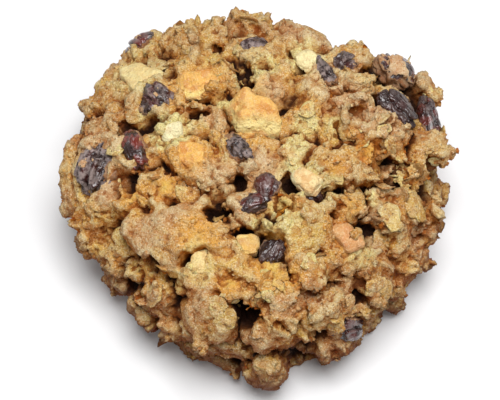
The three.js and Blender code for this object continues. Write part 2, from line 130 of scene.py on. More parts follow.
def height_over_mound(p):
    """Field divided by its slope: the distance from the surface in millimetres, good near it."""
    return mound_field(p) / np.linalg.norm(mound_slope(p), axis=-1)


# %% [markdown]
# ## Places counted by area
# Flakes and small lumps are spread evenly over the cookie. Random places would clump and leave bare
# patches, so the places are counted by surface area from the crown down and by the golden angle round it.
# That never lines up in rows, and it needs no random draw.

# %% The mound's profile
BELOW_BASE = -2.0
CROWN_STEPS = 241
FOOT_STEPS = 31

tilts = np.linspace(math.pi / 2, 0, CROWN_STEPS)
down = np.linspace(WIDEST_AT, BELOW_BASE, FOOT_STEPS)[1:]
profile_radius = np.concatenate([np.cos(tilts).clip(0) ** (2 / SHOULDER), wall_share(down)])
profile_height = np.concatenate([WIDEST_AT + (HEIGHT - WIDEST_AT) * np.sin(tilts) ** (2 / SHOULDER), down])
profile_step = np.hypot(np.diff(profile_radius) * WIDTH / 2, np.diff(profile_height))
ring_area = profile_step * (profile_radius[1:] + profile_radius[:-1]) / 2
profile_area = np.concatenate([[0], np.cumsum(ring_area)])
print("the mound's skin:", round(TAU * WIDTH / 2 * profile_area[-1] / 100), "square centimetres")

# %% Even places
GOLDEN_ANGLE = math.pi * (3 - math.sqrt(5))
# fractions whose multiples, less their whole parts, fill 0 to 1 evenly
STRIDES = (0.7548776662, 0.5698402909, 0.8191725134, 0.6710436067, 0.5497004779)


def mound_point(azimuth, area_share):
    """Profile at a share of the area counted from the crown, turned to an azimuth."""
    wanted = area_share * profile_area[-1]
    radius = np.interp(wanted, profile_area, profile_radius) * plan_waver(azimuth)
    height = np.interp(wanted, profile_area, profile_height) + 0 * azimuth
    x, y = radius * np.cos(azimuth) * WIDTH / 2, radius * np.sin(azimuth) * DEPTH / 2
    return np.stack([x, y, height], axis=-1)


def share(i, k):
    """Evenly spread fractions that never line up: step i of the sequence with stride k."""
    return (0.5 + (i + 1) * STRIDES[k]) % 1


# %% [markdown]
# ## Places as the viewer sees them
# The big lumps, the fruit and the chips are copied from what is seen from the front and above. Their
# places could be typed in as points in space, but a distance to the right and up in that view can be read
# off with a ruler. A line of sight through it meets the mound at a point, and a small frame of three
# directions stands there: across, along and outwards.

# %% The view's directions
VIEW_ELEVATION = math.radians(62)
VIEW_DISTANCE = 400.0
VIEW_TARGET = np.array([-1.0, -2.8, 12.0])
VIEW_RIGHT = np.array([1.0, 0.0, 0.0])
VIEW_UP = np.array([0.0, math.sin(VIEW_ELEVATION), math.cos(VIEW_ELEVATION)])
VIEW_TOWARDS = np.array([0.0, -math.cos(VIEW_ELEVATION), math.sin(VIEW_ELEVATION)])
LEAST_FACING = 0.62
SIGHT_SHARES = np.linspace(0.82, 1.12, 401)


def seen_point(right, up):
    """First point along each line of sight where the field is 0 or less, or else where it is least."""
    eye = VIEW_TARGET + VIEW_TOWARDS * VIEW_DISTANCE
    sight = VIEW_TARGET + right[:, None] * VIEW_RIGHT + up[:, None] * VIEW_UP - eye
    field = mound_field(eye + sight[:, None, :] * SIGHT_SHARES[None, :, None])
    met = field <= 0
    best = np.where(met.any(axis=1), met.argmax(axis=1), field.argmin(axis=1))
    return eye + sight * SIGHT_SHARES[best][:, None]


def places_on(point, turn):
    """Frames on the mound: across is the viewer's right laid on the surface and turned by an angle."""
    outwards = unit(mound_slope(point))
    across = VIEW_RIGHT - outwards * outwards[:, :1]
    steep = np.sum(across**2, axis=1) < 1e-3
    across[steep] = (np.array([0.0, 1.0, 0.0]) - outwards * outwards[:, 1:2])[steep]
    across = unit(across)
    turned = across * np.cos(turn)[:, None] + np.cross(outwards, across) * np.sin(turn)[:, None]
    return SimpleNamespace(point=point, outwards=outwards, across=turned, along=np.cross(outwards, turned))


def seen_places(rows):
    """Frames for rows of right, up, across, along, turn, last. Lengths up a slope are seen shortened."""
    right, up, across, along, turn, last = np.array(rows, float).T
    places = places_on(seen_point(right, up), np.radians(turn))
    facing = np.maximum(LEAST_FACING, places.outwards @ VIEW_TOWARDS)
    places.half_across = across / 2
    places.half_along = along / facing / 2
    places.lift = last
    return places


# %% [markdown]
# ## What was dropped where
# The lists below are the cookie's plan, in millimetres and degrees: lumps of dough, the cracks and holes
# between them, the dried cranberries and the pale chips. Each row is right, up, across, along, turn, and
# how far the crown stands proud of the mound, or for a crack how deep it goes.

# %% Lumps of dough
LUMPS = (
    # the back edge
    (-15.9, 42.2, 17, 10, -14, 1.6), (-14.4, 35.4, 18, 8, -6, 0.4), (-27.6, 39.0, 12, 7.5, 28, 1.4),
    (-1.8, 45.6, 10, 6, 5, 1.8), (-9.7, 43.8, 5.5, 5, 0, 1.4), (11.0, 42.8, 18, 10, -18, 2.2),
    (8.5, 41.0, 11, 7, -8, 2.2), (25.6, 36.9, 12, 5.5, -4, 2.0), (30.2, 37.2, 4.5, 3.5, 0, 2.0),
    (23.8, 31.2, 15, 10, -32, 0.6), (-5.1, 37.7, 8, 8, 0, -1.4), (5.9, 35.6, 12, 7, 6, -0.4),
    # the right side
    (43.4, 29.4, 6, 9, -8, 3.2), (46.4, 26.6, 5, 6, 0, 3.0), (38.6, 36.0, 6, 3.2, -35, 2.0),
    (37.4, 27.4, 9, 6, 0, -0.8), (45.1, 17.4, 8, 6.5, 0, 0.8), (32.3, 18.6, 22, 12, -12, 2.8),
    (44.8, 10.8, 13, 11, -20, 3.0), (36.7, 4.6, 13, 8, 0, -2.4), (34.4, -2.3, 15, 10, 4, 1.0),
    (42.2, -1.2, 12, 11, 0, -1.2), (46.0, -6.6, 6, 8, 0, 2.4), (39.2, -10.5, 14, 9, -28, 0.8),
    (44.4, -14.4, 8, 9, 0, 0.8), (39.6, -19.2, 8, 9, 0, 1.6),
    # the middle
    (4.6, 30.2, 10, 9, 20, 0.6), (14.9, 29.4, 14, 9, 0, 0), (25.6, 25.4, 11, 8, -15, 0.8),
    (12.3, 22.0, 13, 10, 10, 0.2), (21.3, 17.8, 14, 11, 0, 0.2), (12.3, 12.4, 14, 12, 20, 0.6),
    (23.6, 8.6, 19, 12, 6, 1.9), (3.3, 12.0, 12, 10, 0, 0), (-6.2, 27.0, 7, 10, -12, -2.0),
    (-9.5, 21.6, 13, 10, -15, 0.4), (-18.5, 23.4, 11, 8, 10, 0.4), (-14.4, 8.2, 16, 10, -20, 1.2),
    (-9.7, 2.4, 11, 8, 0, -0.8), (-15.5, 1.4, 9, 6.5, 0, -0.2), (-2.6, -2.6, 8, 10, 20, 0.2),
    (25.0, -1.6, 13, 8, 0, 1.2), (14.4, -7.6, 22, 19, -12, 3.4), (9.0, -3.0, 11, 9, 0, 2.4),
    # the left side
    (-39.2, 27.0, 13, 12, 20, 1.0), (-39.5, 19.4, 15, 8, 8, 0.6), (-43.8, 14.8, 7, 6, 0, 1.0),
    (-35.9, 32.6, 7, 6, 40, 0), (-31.0, 22.0, 10, 9, 0, -0.4), (-34.6, 12.2, 13, 11, 15, 1.2),
    (-46.4, 6.0, 8, 13, 0, 1.6), (-40.0, -2.2, 19, 12, -8, 1.0), (-24.9, 4.0, 15, 9, 8, 0.4),
    (-31.3, -2.6, 9, 8, 0, 1.6), (-21.0, -8.8, 31, 17, -8, 3.4), (-4.5, -5.8, 8, 7, 0, 0.2),
    (-25.5, 13.6, 10, 10, 0, -0.4),
    # the front
    (-42.2, -8.6, 9, 10, 0, 2.0), (-36.9, -14.9, 13, 10, -15, 1.2), (-36.0, -21.4, 9, 8, 0, 1.4),
    (-28.7, -18.4, 14, 10, -10, 0.8), (-26.7, -25.4, 14, 12, 0, 0.8), (-27.4, -30.0, 10, 5, 10, 2.2),
    (-22.6, -33.8, 9, 6, 0, 0.4), (-19.5, -21.8, 7, 8, 0, -0.8), (-9.7, -15.6, 21, 15, -20, 1.4),
    (-7.7, -23.3, 20, 12, -12, 1.2), (-12.0, -31.0, 16, 13, 0, 3.0), (16.2, -17.0, 13, 10, 15, 2.8),
    (23.0, -16.4, 14, 7, 22, -0.2), (32.3, -16.2, 13, 9, 0, -0.2), (33.8, -22.3, 10, 11, 0, 0.8),
    (6.7, -22.3, 18, 12, -15, 1.2), (9.2, -27.6, 13, 9, -10, 1.8), (17.9, -27.4, 11, 10, 0, 1.4),
    (23.8, -25.4, 9, 9, 0, -0.6), (3.1, -35.1, 12.5, 12, 0, 1.6),
    # the foot
    (31.8, -27.4, 12, 10, 0, -0.4), (37.6, -27.4, 5, 4.5, 0, 1.6), (25.6, -32.0, 10, 10, 0, -1.0),
    (4.8, -44.4, 11.0, 8.2, 0, 3.2), (13.3, -37.0, 16, 9, 10, -2.2), (22.0, -37.4, 11, 8, -20, 1.4),
    (-8.5, -39.4, 19, 8, 0, -0.8), (-15.6, -40.4, 9, 5, 0, -0.4),
)

# %% Cracks and holes
CRACKS = (
    (-33.8, 18.0, 8.5, 3.0, 8, 7), (-11.3, 25.6, 12, 2.2, -8, 6), (-0.5, 31.0, 8, 3.4, 25, 7),
    (10.5, 38.0, 2.8, 2.4, 0, 5), (25.6, 21.0, 5, 2.8, 30, 6), (15.4, 1.6, 12, 3.2, -15, 7),
    (2.4, 2.0, 8.5, 12.5, 25, 2.2), (-14.8, 22.0, 6, 2.2, 30, 6), (8.5, 24.4, 3.4, 2.4, 0, 6),
    (19.5, 2.6, 5, 2.4, 20, 7), (28.0, 1.6, 5, 2.2, 0, 6), (-26.0, -3.0, 6, 2.0, 30, 6),
    (-17.5, 4.6, 3, 1.8, 0, 5), (26.0, 2.4, 13, 3.0, 4, 7), (-20.5, 31.5, 6, 2, 40, 5),
    (-9.5, 31.0, 5, 3, 0, 5), (-23.0, 21.0, 9, 2.4, 10, 6), (-5.5, 21.5, 2.4, 8, 0, 5),
    (38.0, 5.6, 7, 4.5, 20, 5), (-26.2, -2.8, 4.4, 2.8, 0, 6), (-20.8, -0.4, 4.5, 1.8, 8, 5),
    (-9.0, -4.0, 8, 3.6, -10, 8), (-4.9, 3.0, 4.4, 2.4, 20, 6), (-1.5, -7.7, 6.5, 3.0, -5, 8),
    (-16.4, -16.2, 5.4, 2.8, 25, 7), (-27.5, -15.6, 13, 2.0, -4, 5), (-14.5, -15.6, 9, 2.4, 28, 6),
    (-2.8, -30.2, 6.5, 9, 0, 8), (21.0, -21.8, 7.5, 3.2, 0, 6), (27.4, -26.0, 3.8, 3.2, 0, 5),
    (46.5, 4.2, 12, 7, 8, 7), (4.6, -12.5, 11, 2.4, -62, 5), (24.5, -3.2, 10, 2.0, 8, 5),
    (15.0, -22.8, 12, 2.2, -8, 6), (31.5, 37.0, 6, 5, -50, 6), (15.5, -43.0, 8, 7, 0, 5),
    (-9.5, -46.0, 12, 4, 8, 4.2), (-22.5, -41.0, 10, 5, 30, 4.6),
)

# %% Dried cranberries
CRANBERRIES = {
    "top_right_corner": (36.9, 32.6, 10.6, 7.6, -18, 3.2),
    "top_right_long": (36.9, 23.2, 13.6, 6.8, -42, 3.0),
    "right_edge": (44.8, 21.3, 6.2, 8.2, 10, 3.0),
    "back_left": (-28.2, 39.4, 9.6, 6.2, 28, 2.8),
    "back_middle": (0.6, 39.4, 8.8, 5.6, 35, 1.6),
    "back_right": (23.8, 35.8, 6.8, 5.2, -30, 2.0),
    "upper_left": (-24.9, 26.2, 11.0, 9.0, 40, 2.8),
    "upper_right_streak": (19.4, 32.6, 5.2, 8.4, 25, 1.6),
    "middle_dusty": (-3.1, 13.4, 7.6, 9.6, 35, 1.8),
    "centre_upper": (3.9, 4.2, 6.0, 7.2, -10, 1.0),
    "centre_lower": (0.6, -0.8, 8.6, 5.8, 25, 1.0),
    "left_big": (-40.6, 7.8, 11.4, 12.2, -20, 3.4),
    "left_crescent": (-30.6, 12.8, 6.4, 9.4, 20, 2.2),
    "lower_middle": (5.4, -13.2, 7.0, 7.6, -40, 0.6),
    "lower_right": (25.6, -33.6, 8.0, 8.2, 40, 2.4),
    "middle_crack": (15.4, 1.6, 6.2, 5.2, 0, -0.6),
}

# %% Pale chips
CHIPS = {
    "upper_left": (-29.7, 32.4, 11.8, 9.4, 35, 1.4),
    "upper_middle": (-14.0, 29.0, 12.6, 7.0, 4, 2.4),
    "left_of_middle": (-20.8, 17.4, 7.0, 6.2, 0, 1.8),
    "largest": (0.3, 21.8, 13.6, 11.8, 20, 3.0),
    "back_right": (14.1, 36.6, 8.0, 5.4, 25, 2.0),
    "middle_right": (13.4, 4.8, 9.8, 5.8, -30, 2.0),
    "centre_left": (-17.0, 11.6, 10.0, 8.0, -12, 2.6),
    "lower_middle": (-1.6, -11.2, 6.0, 5.6, 0, 2.4),
    "lower_left": (-13.2, -16.4, 5.4, 8.2, 0, 2.8),
    "wedge": (24.4, -9.8, 7.4, 9.8, 35, 2.2),
}
# toast on the crown, whiteness of the rest, dough that clings to it, and how far it sank in millimetres
CHIP_LOOK = {
    "upper_left": (0.25, 0.5, 0.35, 0.1),
    "upper_middle": (1.0, 0.1, 0.4, 0.1),
    "left_of_middle": (0.05, 1.0, 0.25, 0.0),
    "largest": (1.0, 0.3, 0.25, 0.0),
    "back_right": (0.1, 0.7, 0.45, 0.2),
    "middle_right": (0.5, 0.9, 0.35, 0.4),
    "centre_left": (1.0, 0.0, 0.5, 0.3),
    "lower_middle": (0.5, 0.2, 0.8, 2.6),
    "lower_left": (0.3, 0.5, 0.6, 1.5),
    "wedge": (1.0, 0.0, 0.1, 0.0),
}

# %% Frames for fruit and chips
FRUIT_DEPTH_SHARE = 0.9
CHIP_DEPTH_SHARE = 0.8


def inclusion_places(rows, depth_share):
    """Frames for fruit or chips, with the thickness: a share of the lesser of the two widths."""
    places = seen_places(list(rows.values()))
    places.deep = depth_share * np.array([min(row[2], row[3]) for row in rows.values()])
    places.names = list(rows)
    return places


fruit = inclusion_places(CRANBERRIES, FRUIT_DEPTH_SHARE)
chips = inclusion_places(CHIPS, CHIP_DEPTH_SHARE)
print("lumps", len(LUMPS), "cracks", len(CRACKS), "fruit", len(fruit.names), "chips", len(chips.names))

# %% [markdown]
# ## Where the mound stands in the frame
# The frame is centred on the whole cookie's box, and the mound's own axis isn't quite there. The fruit
# and chips tell how far apart the two are: each one's box in the frame is set against its place on the
# mound, and the middle value of the differences is the answer.

# %% The mound's middle in the frame


def box_middle(node):
    """Middle of a solid's box, in millimetres of the frame."""
    low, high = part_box(node)
    return (np.array(low) + np.array(high)) / 2 / MM


def body_centre(places):
    """Middle of each piece: half its thickness below its crown."""
    return places.point + places.outwards * (places.lift - places.deep / 2)[:, None]


in_frame = [box_middle("cranberry_" + name) for name in fruit.names]
in_frame += [box_middle("chip_" + name) for name in chips.names]
on_mound = np.concatenate([body_centre(fruit), body_centre(chips)])
MIDDLE = np.median(np.array(in_frame) - on_mound, axis=0) * (1, 1, 0)
print("the mound's axis stands at", MIDDLE.round(2), "mm")

# %% [markdown]
# ## Uneven numbers
# Baked dough is uneven at every size. Two kinds of field give that: smooth noise, which rises and falls,
# and cells, which give the round grains and the broken faces. Blender's own textures could do it in a
# material, but the shape itself has to change, so both are worked out here on whole arrays of points.
# Each starts from a number for every cube of space, mixed from the cube's whole-number place, so that it
# is the same in every run.

# %% A number for every cube
# large odd numbers that mix bits well, and the shifts between them
MIXERS = np.array([0x8DA6B343, 0xD8163841, 0xCB1AB31F], np.uint32)
SEED_MIXER = 0x9E3779B1
SCRAMBLE = ((15, 0x2C1B3C6D), (12, 0x297A2D39), (15, 1))


def cube_number(cube, seed):
    """A fraction from 0 to 1 for each whole-number cube: its place times three odd numbers, scrambled."""
    mixed = (cube.astype(np.int64).astype(np.uint32) * MIXERS).sum(axis=-1, dtype=np.uint32)
    mixed = mixed ^ np.uint32(seed * SEED_MIXER & 0xFFFFFFFF)
    for shift, mixer in SCRAMBLE:
        mixed = (mixed ^ (mixed >> np.uint32(shift))) * np.uint32(mixer)
    return mixed / 2.0**32


# %% Smooth noise
LAYER_SHARE = 0.55


def noise(p, size, seed):
    """Cube numbers blended smoothly between the eight corners round each point, from -1 to 1."""
    grid = p / size
    cube = np.floor(grid)
    part = grid - cube
    ease = part * part * part * (part * (part * 6 - 15) + 10)
    total = np.zeros(p.shape[:-1])
    for corner in itertools.product((0, 1), repeat=3):
        weight = np.prod(np.where(corner, ease, 1 - ease), axis=-1)
        total += weight * cube_number(cube + corner, seed)
    return 2 * total - 1


def layered(p, size, octaves, seed):
    """Noise plus finer, fainter noise: each layer has half the size and a little over half the height."""
    layers = [LAYER_SHARE**k * noise(p, size / 2**k, seed + 7 * k) for k in range(octaves)]
    return sum(layers) / sum(LAYER_SHARE**k for k in range(octaves))


# %% Cells, grains and broken faces
# farther than any point of a cell or of a lump, as a share of its size
FAR = 9.0
GRAIN_REACH = 0.85


def cells(p, size, seed):
    """Distance to the nearest of points strewn one to a cube, as a share of the cube's size."""
    grid = p / size
    cube = np.floor(grid)
    nearest = np.full(p.shape[:-1], FAR)
    for offset in itertools.product((-1, 0, 1), repeat=3):
        home = cube + offset
        strewn = np.stack([cube_number(home, seed + k) for k in range(3)], axis=-1)
        nearest = np.minimum(nearest, np.linalg.norm(home + strewn - grid, axis=-1))
    return nearest


def grains(p, size, seed):
    """Round bumps, one to a cell: 1 at a cell's middle, falling as the square of the distance to 0."""
    return np.maximum(0, 1 - (cells(p, size, seed) / GRAIN_REACH) ** 2)


def facets(p, size, seed):
    """Broken faces: each cell is a plane with a tilt and a level of its own, which steps at its border."""
    grid = p / size
    cube = np.floor(grid)
    nearest = np.full(p.shape[:-1], FAR)
    level = 0 * nearest
    for offset in itertools.product((-1, 0, 1), repeat=3):
        home = cube + offset
        number = np.stack([cube_number(home, seed + k) for k in range(6)], axis=-1)
        away = home + number[..., :3] - grid
        gap = np.linalg.norm(away, axis=-1)
        tilted = number[..., 3] - 0.5 + 2 * np.sum(away * (number[..., 3:] - 0.5), axis=-1)
        level = np.where(gap < nearest, tilted, level)
        nearest = np.minimum(nearest, gap)
    return level


# %% Easing and ripples
# how the lumps' outlines wander: millimetres, wavelength and phases
BENDS = ((1.5, 11, (0.4, 2.9, 5.3)), (0.6, 6.4, (1.4, 3.9, 6.3)))


def ease_between(low, high, value):
    """0 below low and 1 above high, with a smooth rise between. A low above high gives the falling form."""
    part = np.clip((value - low) / (high - low), 0, 1)
    return part * part * (3 - 2 * part)


def ripple(p, wavelength, phase):
    """Mean of three crossing sine waves, each bent by the one before."""
    k = TAU / wavelength
    x, y, z = p[..., 0], p[..., 1], p[..., 2]
    a = np.sin(k * (0.82 * x + 0.41 * y + 0.39 * z) + phase)
    b = np.sin(k * (-0.37 * x + 0.79 * y - 0.49 * z) + 1.7 * phase + 2.1 * a)
    c = np.sin(k * (0.43 * x - 0.46 * y + 0.77 * z) - 1.3 * phase + 1.6 * b)
    return (a + b + c) / 3


def three_ripples(p, wavelength, phases):
    """A vector at each point: three ripples, one for each phase."""
    return np.stack([ripple(p, wavelength, phase) for phase in phases], axis=-1)


def bend_of(p):
    """How far the lumps' outlines wander, in millimetres."""
    return sum(reach * three_ripples(p, wavelength, phases) for reach, wavelength, phases in BENDS)


bent = bend_of(on_mound)
print("bends at the fruit and chips:", bent.min().round(1), "to", bent.max().round(1), "mm")

# %% [markdown]
# ## Meshes from arrays
# One function turns arrays of points and of corner numbers into a Blender mesh in a few fast calls, and
# another reads a mesh back into arrays. Lumps, flakes, fruit, chips and crumbs are all balls of rows and
# columns that are pushed out of round, so the ball has its own functions, also for thousands of balls at
# once.

# %% Arrays to a mesh and back


def mesh_object(name, points, *faces):
    """Object at the origin: points in millimetres of the mound's frame, and arrays of corner numbers."""
    mesh = bpy.data.meshes.new(name)
    corners = np.concatenate([part.ravel() for part in faces]).astype(np.int32)
    sizes = np.concatenate([np.full(len(part), part.shape[1]) for part in faces])
    starts = np.concatenate([[0], np.cumsum(sizes)[:-1]]).astype(np.int32)
    mesh.vertices.add(len(points))
    mesh.vertices.foreach_set("co", ((points + MIDDLE) * MM).astype(np.float32).ravel())
    mesh.loops.add(len(corners))
    mesh.loops.foreach_set("vertex_index", corners)
    mesh.polygons.add(len(sizes))
    mesh.polygons.foreach_set("loop_start", starts)
    mesh.update(calc_edges=True)
    mesh.validate()
    mesh.shade_smooth()
    made = bpy.data.objects.new(name, mesh)
    bpy.context.scene.collection.objects.link(made)
    return made


def arrays_of(mesh):
    """Points in millimetres of the mound's frame, and quads. A triangle repeats its last corner."""
    points = np.empty(len(mesh.vertices) * 3, np.float32)
    mesh.vertices.foreach_get("co", points)
    corners = np.empty(len(mesh.loops), np.int32)
    mesh.loops.foreach_get("vertex_index", corners)
    starts = np.empty(len(mesh.polygons), np.int32)
    mesh.polygons.foreach_get("loop_start", starts)
    totals = np.diff(np.append(starts, len(corners)))
    at = np.stack([starts, starts + 1, starts + 2, starts + np.where(totals > 3, 3, 2)], axis=-1)
    return points.reshape(-1, 3).astype(float) / MM - MIDDLE, corners[at]


# %% Balls of rows and columns


def ball_faces(rows, columns):
    """Faces of a ball of rows x columns points between two poles: the poles are points 0 and 1."""
    row, column = np.meshgrid(np.arange(rows - 1), np.arange(columns), indexing="ij")
    here = 2 + row * columns + column
    beside = 2 + row * columns + (column + 1) % columns
    quads = np.stack([here, here + columns, beside + columns, beside], axis=-1).reshape(-1, 4)
    ring = np.arange(columns)
    after = (ring + 1) % columns
    last = 2 + (rows - 1) * columns
    top = np.stack([0 * ring, 2 + ring, 2 + after], axis=-1)
    bottom = np.stack([0 * ring + 1, last + after, last + ring], axis=-1)
    return quads, np.concatenate([top, bottom])


def ball_angles(rows, columns):
    """Polar angle and azimuth of the same points: the two poles and then the rows."""
    polar = np.repeat(np.linspace(0, math.pi, rows + 2)[1:-1], columns)
    azimuth = np.tile(np.arange(columns) * TAU / columns, rows)
    return np.concatenate([[0, math.pi], polar]), np.concatenate([[0, 0], azimuth])


def ball_directions(rows, columns):
    """The same points on a ball of radius 1: sine of the polar angle sideways, and its cosine upwards."""
    polar, azimuth = ball_angles(rows, columns)
    x, y = np.sin(polar) * np.cos(azimuth), np.sin(polar) * np.sin(azimuth)
    return np.stack([x, y, np.cos(polar)], axis=-1)


def ball_size(rows, columns):
    """How many points a ball has."""
    return 2 + rows * columns


def many_balls(count, rows, columns, first=0):
    """Faces of many such balls, numbered on from ball to ball and from a first number on."""
    steps = (first + np.arange(count) * ball_size(rows, columns))[:, None, None]
    return [(part + steps).reshape(-1, part.shape[1]) for part in ball_faces(rows, columns)]


# %% Outward directions and smoothing


def point_normals(points, quads):
    """Each point's outward direction: the sum over its faces of the cross product of their diagonals."""
    across = points[quads[:, 2]] - points[quads[:, 0]]
    back = points[quads[:, 3]] - points[quads[:, 1]]
    turned = np.repeat(np.cross(across, back), 4, axis=0)
    corner = quads.ravel()
    total = [np.bincount(corner, turned[:, k], len(points)) for k in range(3)]
    return unit(np.stack(total, axis=-1) + 1e-12)


def relaxed(points, quads, rounds):
    """Each point moved to the mean of its neighbours along the faces' edges, some number of times."""
    ends = np.concatenate([quads[:, [0, 1]], quads[:, [1, 2]], quads[:, [2, 3]], quads[:, [3, 0]]])
    start = np.concatenate([ends[:, 0], ends[:, 1]])
    finish = np.concatenate([ends[:, 1], ends[:, 0]])
    count = np.bincount(start, minlength=len(points))[:, None]
    for _ in range(rounds):
        total = [np.bincount(start, column[finish], len(points)) for column in points.T]
        points = np.stack(total, axis=-1) / count
    return points


# %% [markdown]
# ## Fusing many bodies into one
# The dough is many lumps pressed together. A Boolean union keeps every thin sliver between them, while a
# voxel remesh melts them into one skin of even faces with the real overhangs kept, which is what dough
# does. Sealed hollows and loose scraps come out as separate skins, so only the largest skin is kept.

# %% Voxel remesh


def largest_skin(points, quads):
    """Keeps the skin with the most points: the least number spreads over faces until nothing changes."""
    label = np.arange(len(points))
    while True:
        least = label[quads].min(axis=1)
        spread = label.copy()
        np.minimum.at(spread, quads.ravel(), np.repeat(least, 4))
        spread = spread[spread]
        if np.array_equal(spread, label):
            break
        label = spread
    main = np.bincount(label).argmax()
    kept = label == main
    number = np.cumsum(kept) - 1
    return points[kept], number[quads[kept[quads[:, 0]]]]


def fused(points, faces, voxel):
    """The outer skin of overlapping closed shells, as points and quads about one voxel wide."""
    rough = mesh_object("rough", points, *faces)
    remesh = rough.modifiers.new("fuse", "REMESH")
    remesh.mode = "VOXEL"
    remesh.voxel_size = voxel * MM
    solid = bpy.data.meshes.new_from_object(rough.evaluated_get(bpy.context.evaluated_depsgraph_get()))
    result = largest_skin(*arrays_of(solid))
    bpy.data.objects.remove(rough)
    bpy.data.meshes.remove(solid)
    return result


# %% [markdown]
# ## The lumps
# The dough fell as a heap of spoonfuls. They could be sculpted by hand, but a formula for one lump makes
# all of them. Each lump is a superellipsoid: a ball whose section is a little boxy. Its upper half is the
# dome that shows, and its lower half curves back in, which leaves the dark undercut gaps. Every point is
# laid on the mound and raised from there, so that a wide lump wraps over the shoulder. The lumps that the
# viewer sees are placed one by one. Even fillers do the rest: sunk between the seen lumps, and nearly at
# full height on the hidden sides. A core closes the floor of the gaps, less deep on the hidden sides and
# near the foot.

# %% Places of all lumps
LUMP_GROWTH = 1.09
DOME_SHARE = 1.05
LUMP_POWER = 2.4
CREVICE_DEPTH = 7.0
FILLERS = 110
FILLER_SPREAD = 0.97
FILLER_TURN = 1.4
FILLER_SIZE = (9, 16)
FILLER_LENGTH = (0.6, 0.3)
FILLER_UNEVEN = 1.8
# how far a place faces the viewer, against the growth of a filler there, and against its lift
HIDDEN_GROWTH = ((-0.3, 0.2), (1.4, 1))
HIDDEN_LIFT = ((-0.5, -0.2, 0.3), (0.6, -0.9, -3.0))


def filler_places(count):
    """Even places by area and golden angle, each with its own turn, size and lift."""
    i = np.arange(count)
    point = mound_point(GOLDEN_ANGLE * i, (i + 0.5) / count * FILLER_SPREAD)
    places = places_on(point, FILLER_TURN * (share(i, 0) - 0.5))
    facing = places.outwards @ VIEW_TOWARDS
    places.half_across = (FILLER_SIZE[0] + (FILLER_SIZE[1] - FILLER_SIZE[0]) * share(i, 1)) / 2
    places.half_across *= np.interp(facing, *HIDDEN_GROWTH)
    places.half_along = places.half_across * (FILLER_LENGTH[0] + FILLER_LENGTH[1] * share(i, 2))
    places.lift = np.interp(facing, *HIDDEN_LIFT) + FILLER_UNEVEN * (share(i, 3) - 0.5)
    places.dome = DOME_SHARE * places.half_along
    return places


lumps = seen_places([(r, u, LUMP_GROWTH * a, LUMP_GROWTH * b, t, lift) for r, u, a, b, t, lift in LUMPS])
lumps.dome = DOME_SHARE * np.minimum(lumps.half_across, lumps.half_along)
fillers = filler_places(FILLERS)
all_lumps = SimpleNamespace(
    **{key: np.concatenate([getattr(lumps, key), getattr(fillers, key)]) for key in vars(fillers)}
)
cracks = seen_places(CRACKS)
print("lumps with fillers:", len(all_lumps.lift))

# %% Lump shells
LUMP_ROWS = 17
LUMP_COLUMNS = 32
LUMP_ROOT = 0.85
LUMP_ROUGHNESS = 0.12
LUMP_TIP = 0.4


def lump_shells(places):
    """Superellipsoid: sin(polar)^(2/power) sideways, cos(polar)^(2/power) upwards, laid on the mound."""
    polar, azimuth = ball_angles(LUMP_ROWS, LUMP_COLUMNS)
    sideways = np.sin(polar).clip(0) ** (2 / LUMP_POWER)
    upwards = np.sign(np.cos(polar)) * np.abs(np.cos(polar)) ** (2 / LUMP_POWER)
    across = places.half_across[:, None] * sideways * np.cos(azimuth)
    along = places.half_along[:, None] * sideways * np.sin(azimuth)
    below = np.maximum(places.dome, places.lift + LUMP_ROOT * CREVICE_DEPTH)[:, None]
    rise = np.where(upwards > 0, places.dome[:, None], below) * upwards
    middle = places.point[:, None]
    flat = middle + across[..., None] * places.across[:, None] + along[..., None] * places.along[:, None]
    uneven = layered(flat + rise[..., None] * places.outwards[:, None], size=7, octaves=2, seed=11)
    swell = 1 + LUMP_ROUGHNESS * uneven
    i = np.arange(len(places.lift))
    tip = (places.dome * LUMP_TIP * np.stack([share(i, 4) - 0.5, share(i, 0) - 0.5]))[..., None]
    height = (places.lift - places.dome)[:, None] + rise * swell
    height = height + sideways * (tip[0] * np.cos(azimuth) + tip[1] * np.sin(azimuth))
    laid = onto_mound(middle + (flat - middle) * swell[..., None])
    raised = laid + unit(mound_slope(laid)) * height[..., None]
    return (raised - bend_of(raised)).reshape(-1, 3)


# %% The core under the lumps
CORE_ROWS = 40
CORE_COLUMNS = 96
FIRST_RING = 0.003
FOOT_HEIGHT = 12
FOOT_SHALLOW = 0.4
# how far a place faces the viewer, against the share of the crevices' depth there
HIDDEN_SHALLOW = ((-0.2, 0.45), (0.4, 1))


def core_shell(rows, columns):
    """The mound sunk to the crevices' floor, less so where hidden or near the foot, closed by two poles."""
    area_share, turn = np.linspace(FIRST_RING, 1, rows), np.arange(columns) * TAU / columns
    area_share, azimuth = np.meshgrid(area_share, turn, indexing="ij")
    point = mound_point(azimuth.ravel(), area_share.ravel())
    outwards = unit(mound_slope(point))
    raised = np.clip(point[:, 2] / FOOT_HEIGHT, 0, 1)
    seen = np.interp(outwards @ VIEW_TOWARDS, *HIDDEN_SHALLOW)
    sunk = CREVICE_DEPTH * seen * (FOOT_SHALLOW + (1 - FOOT_SHALLOW) * raised)
    point = point - outwards * sunk[:, None]
    poles = np.array([[0, 0, point[0, 2]], [0, 0, BELOW_BASE]])
    return np.concatenate([poles, point])


# %% Collars and the heap
HEAP_VOXEL = 0.9
COLLAR_WIDTH = 1.35
COLLAR_TOP = 0.1
COLLAR_DOME = 0.7
# fruit and chips that stand free, without a collar of dough
FREE_STANDING = (
    "top_right_corner", "top_right_long", "right_edge", "middle_crack", "left_crescent", "largest",
    "back_right", "lower_middle", "lower_left", "wedge", "middle_right", "centre_lower",
)


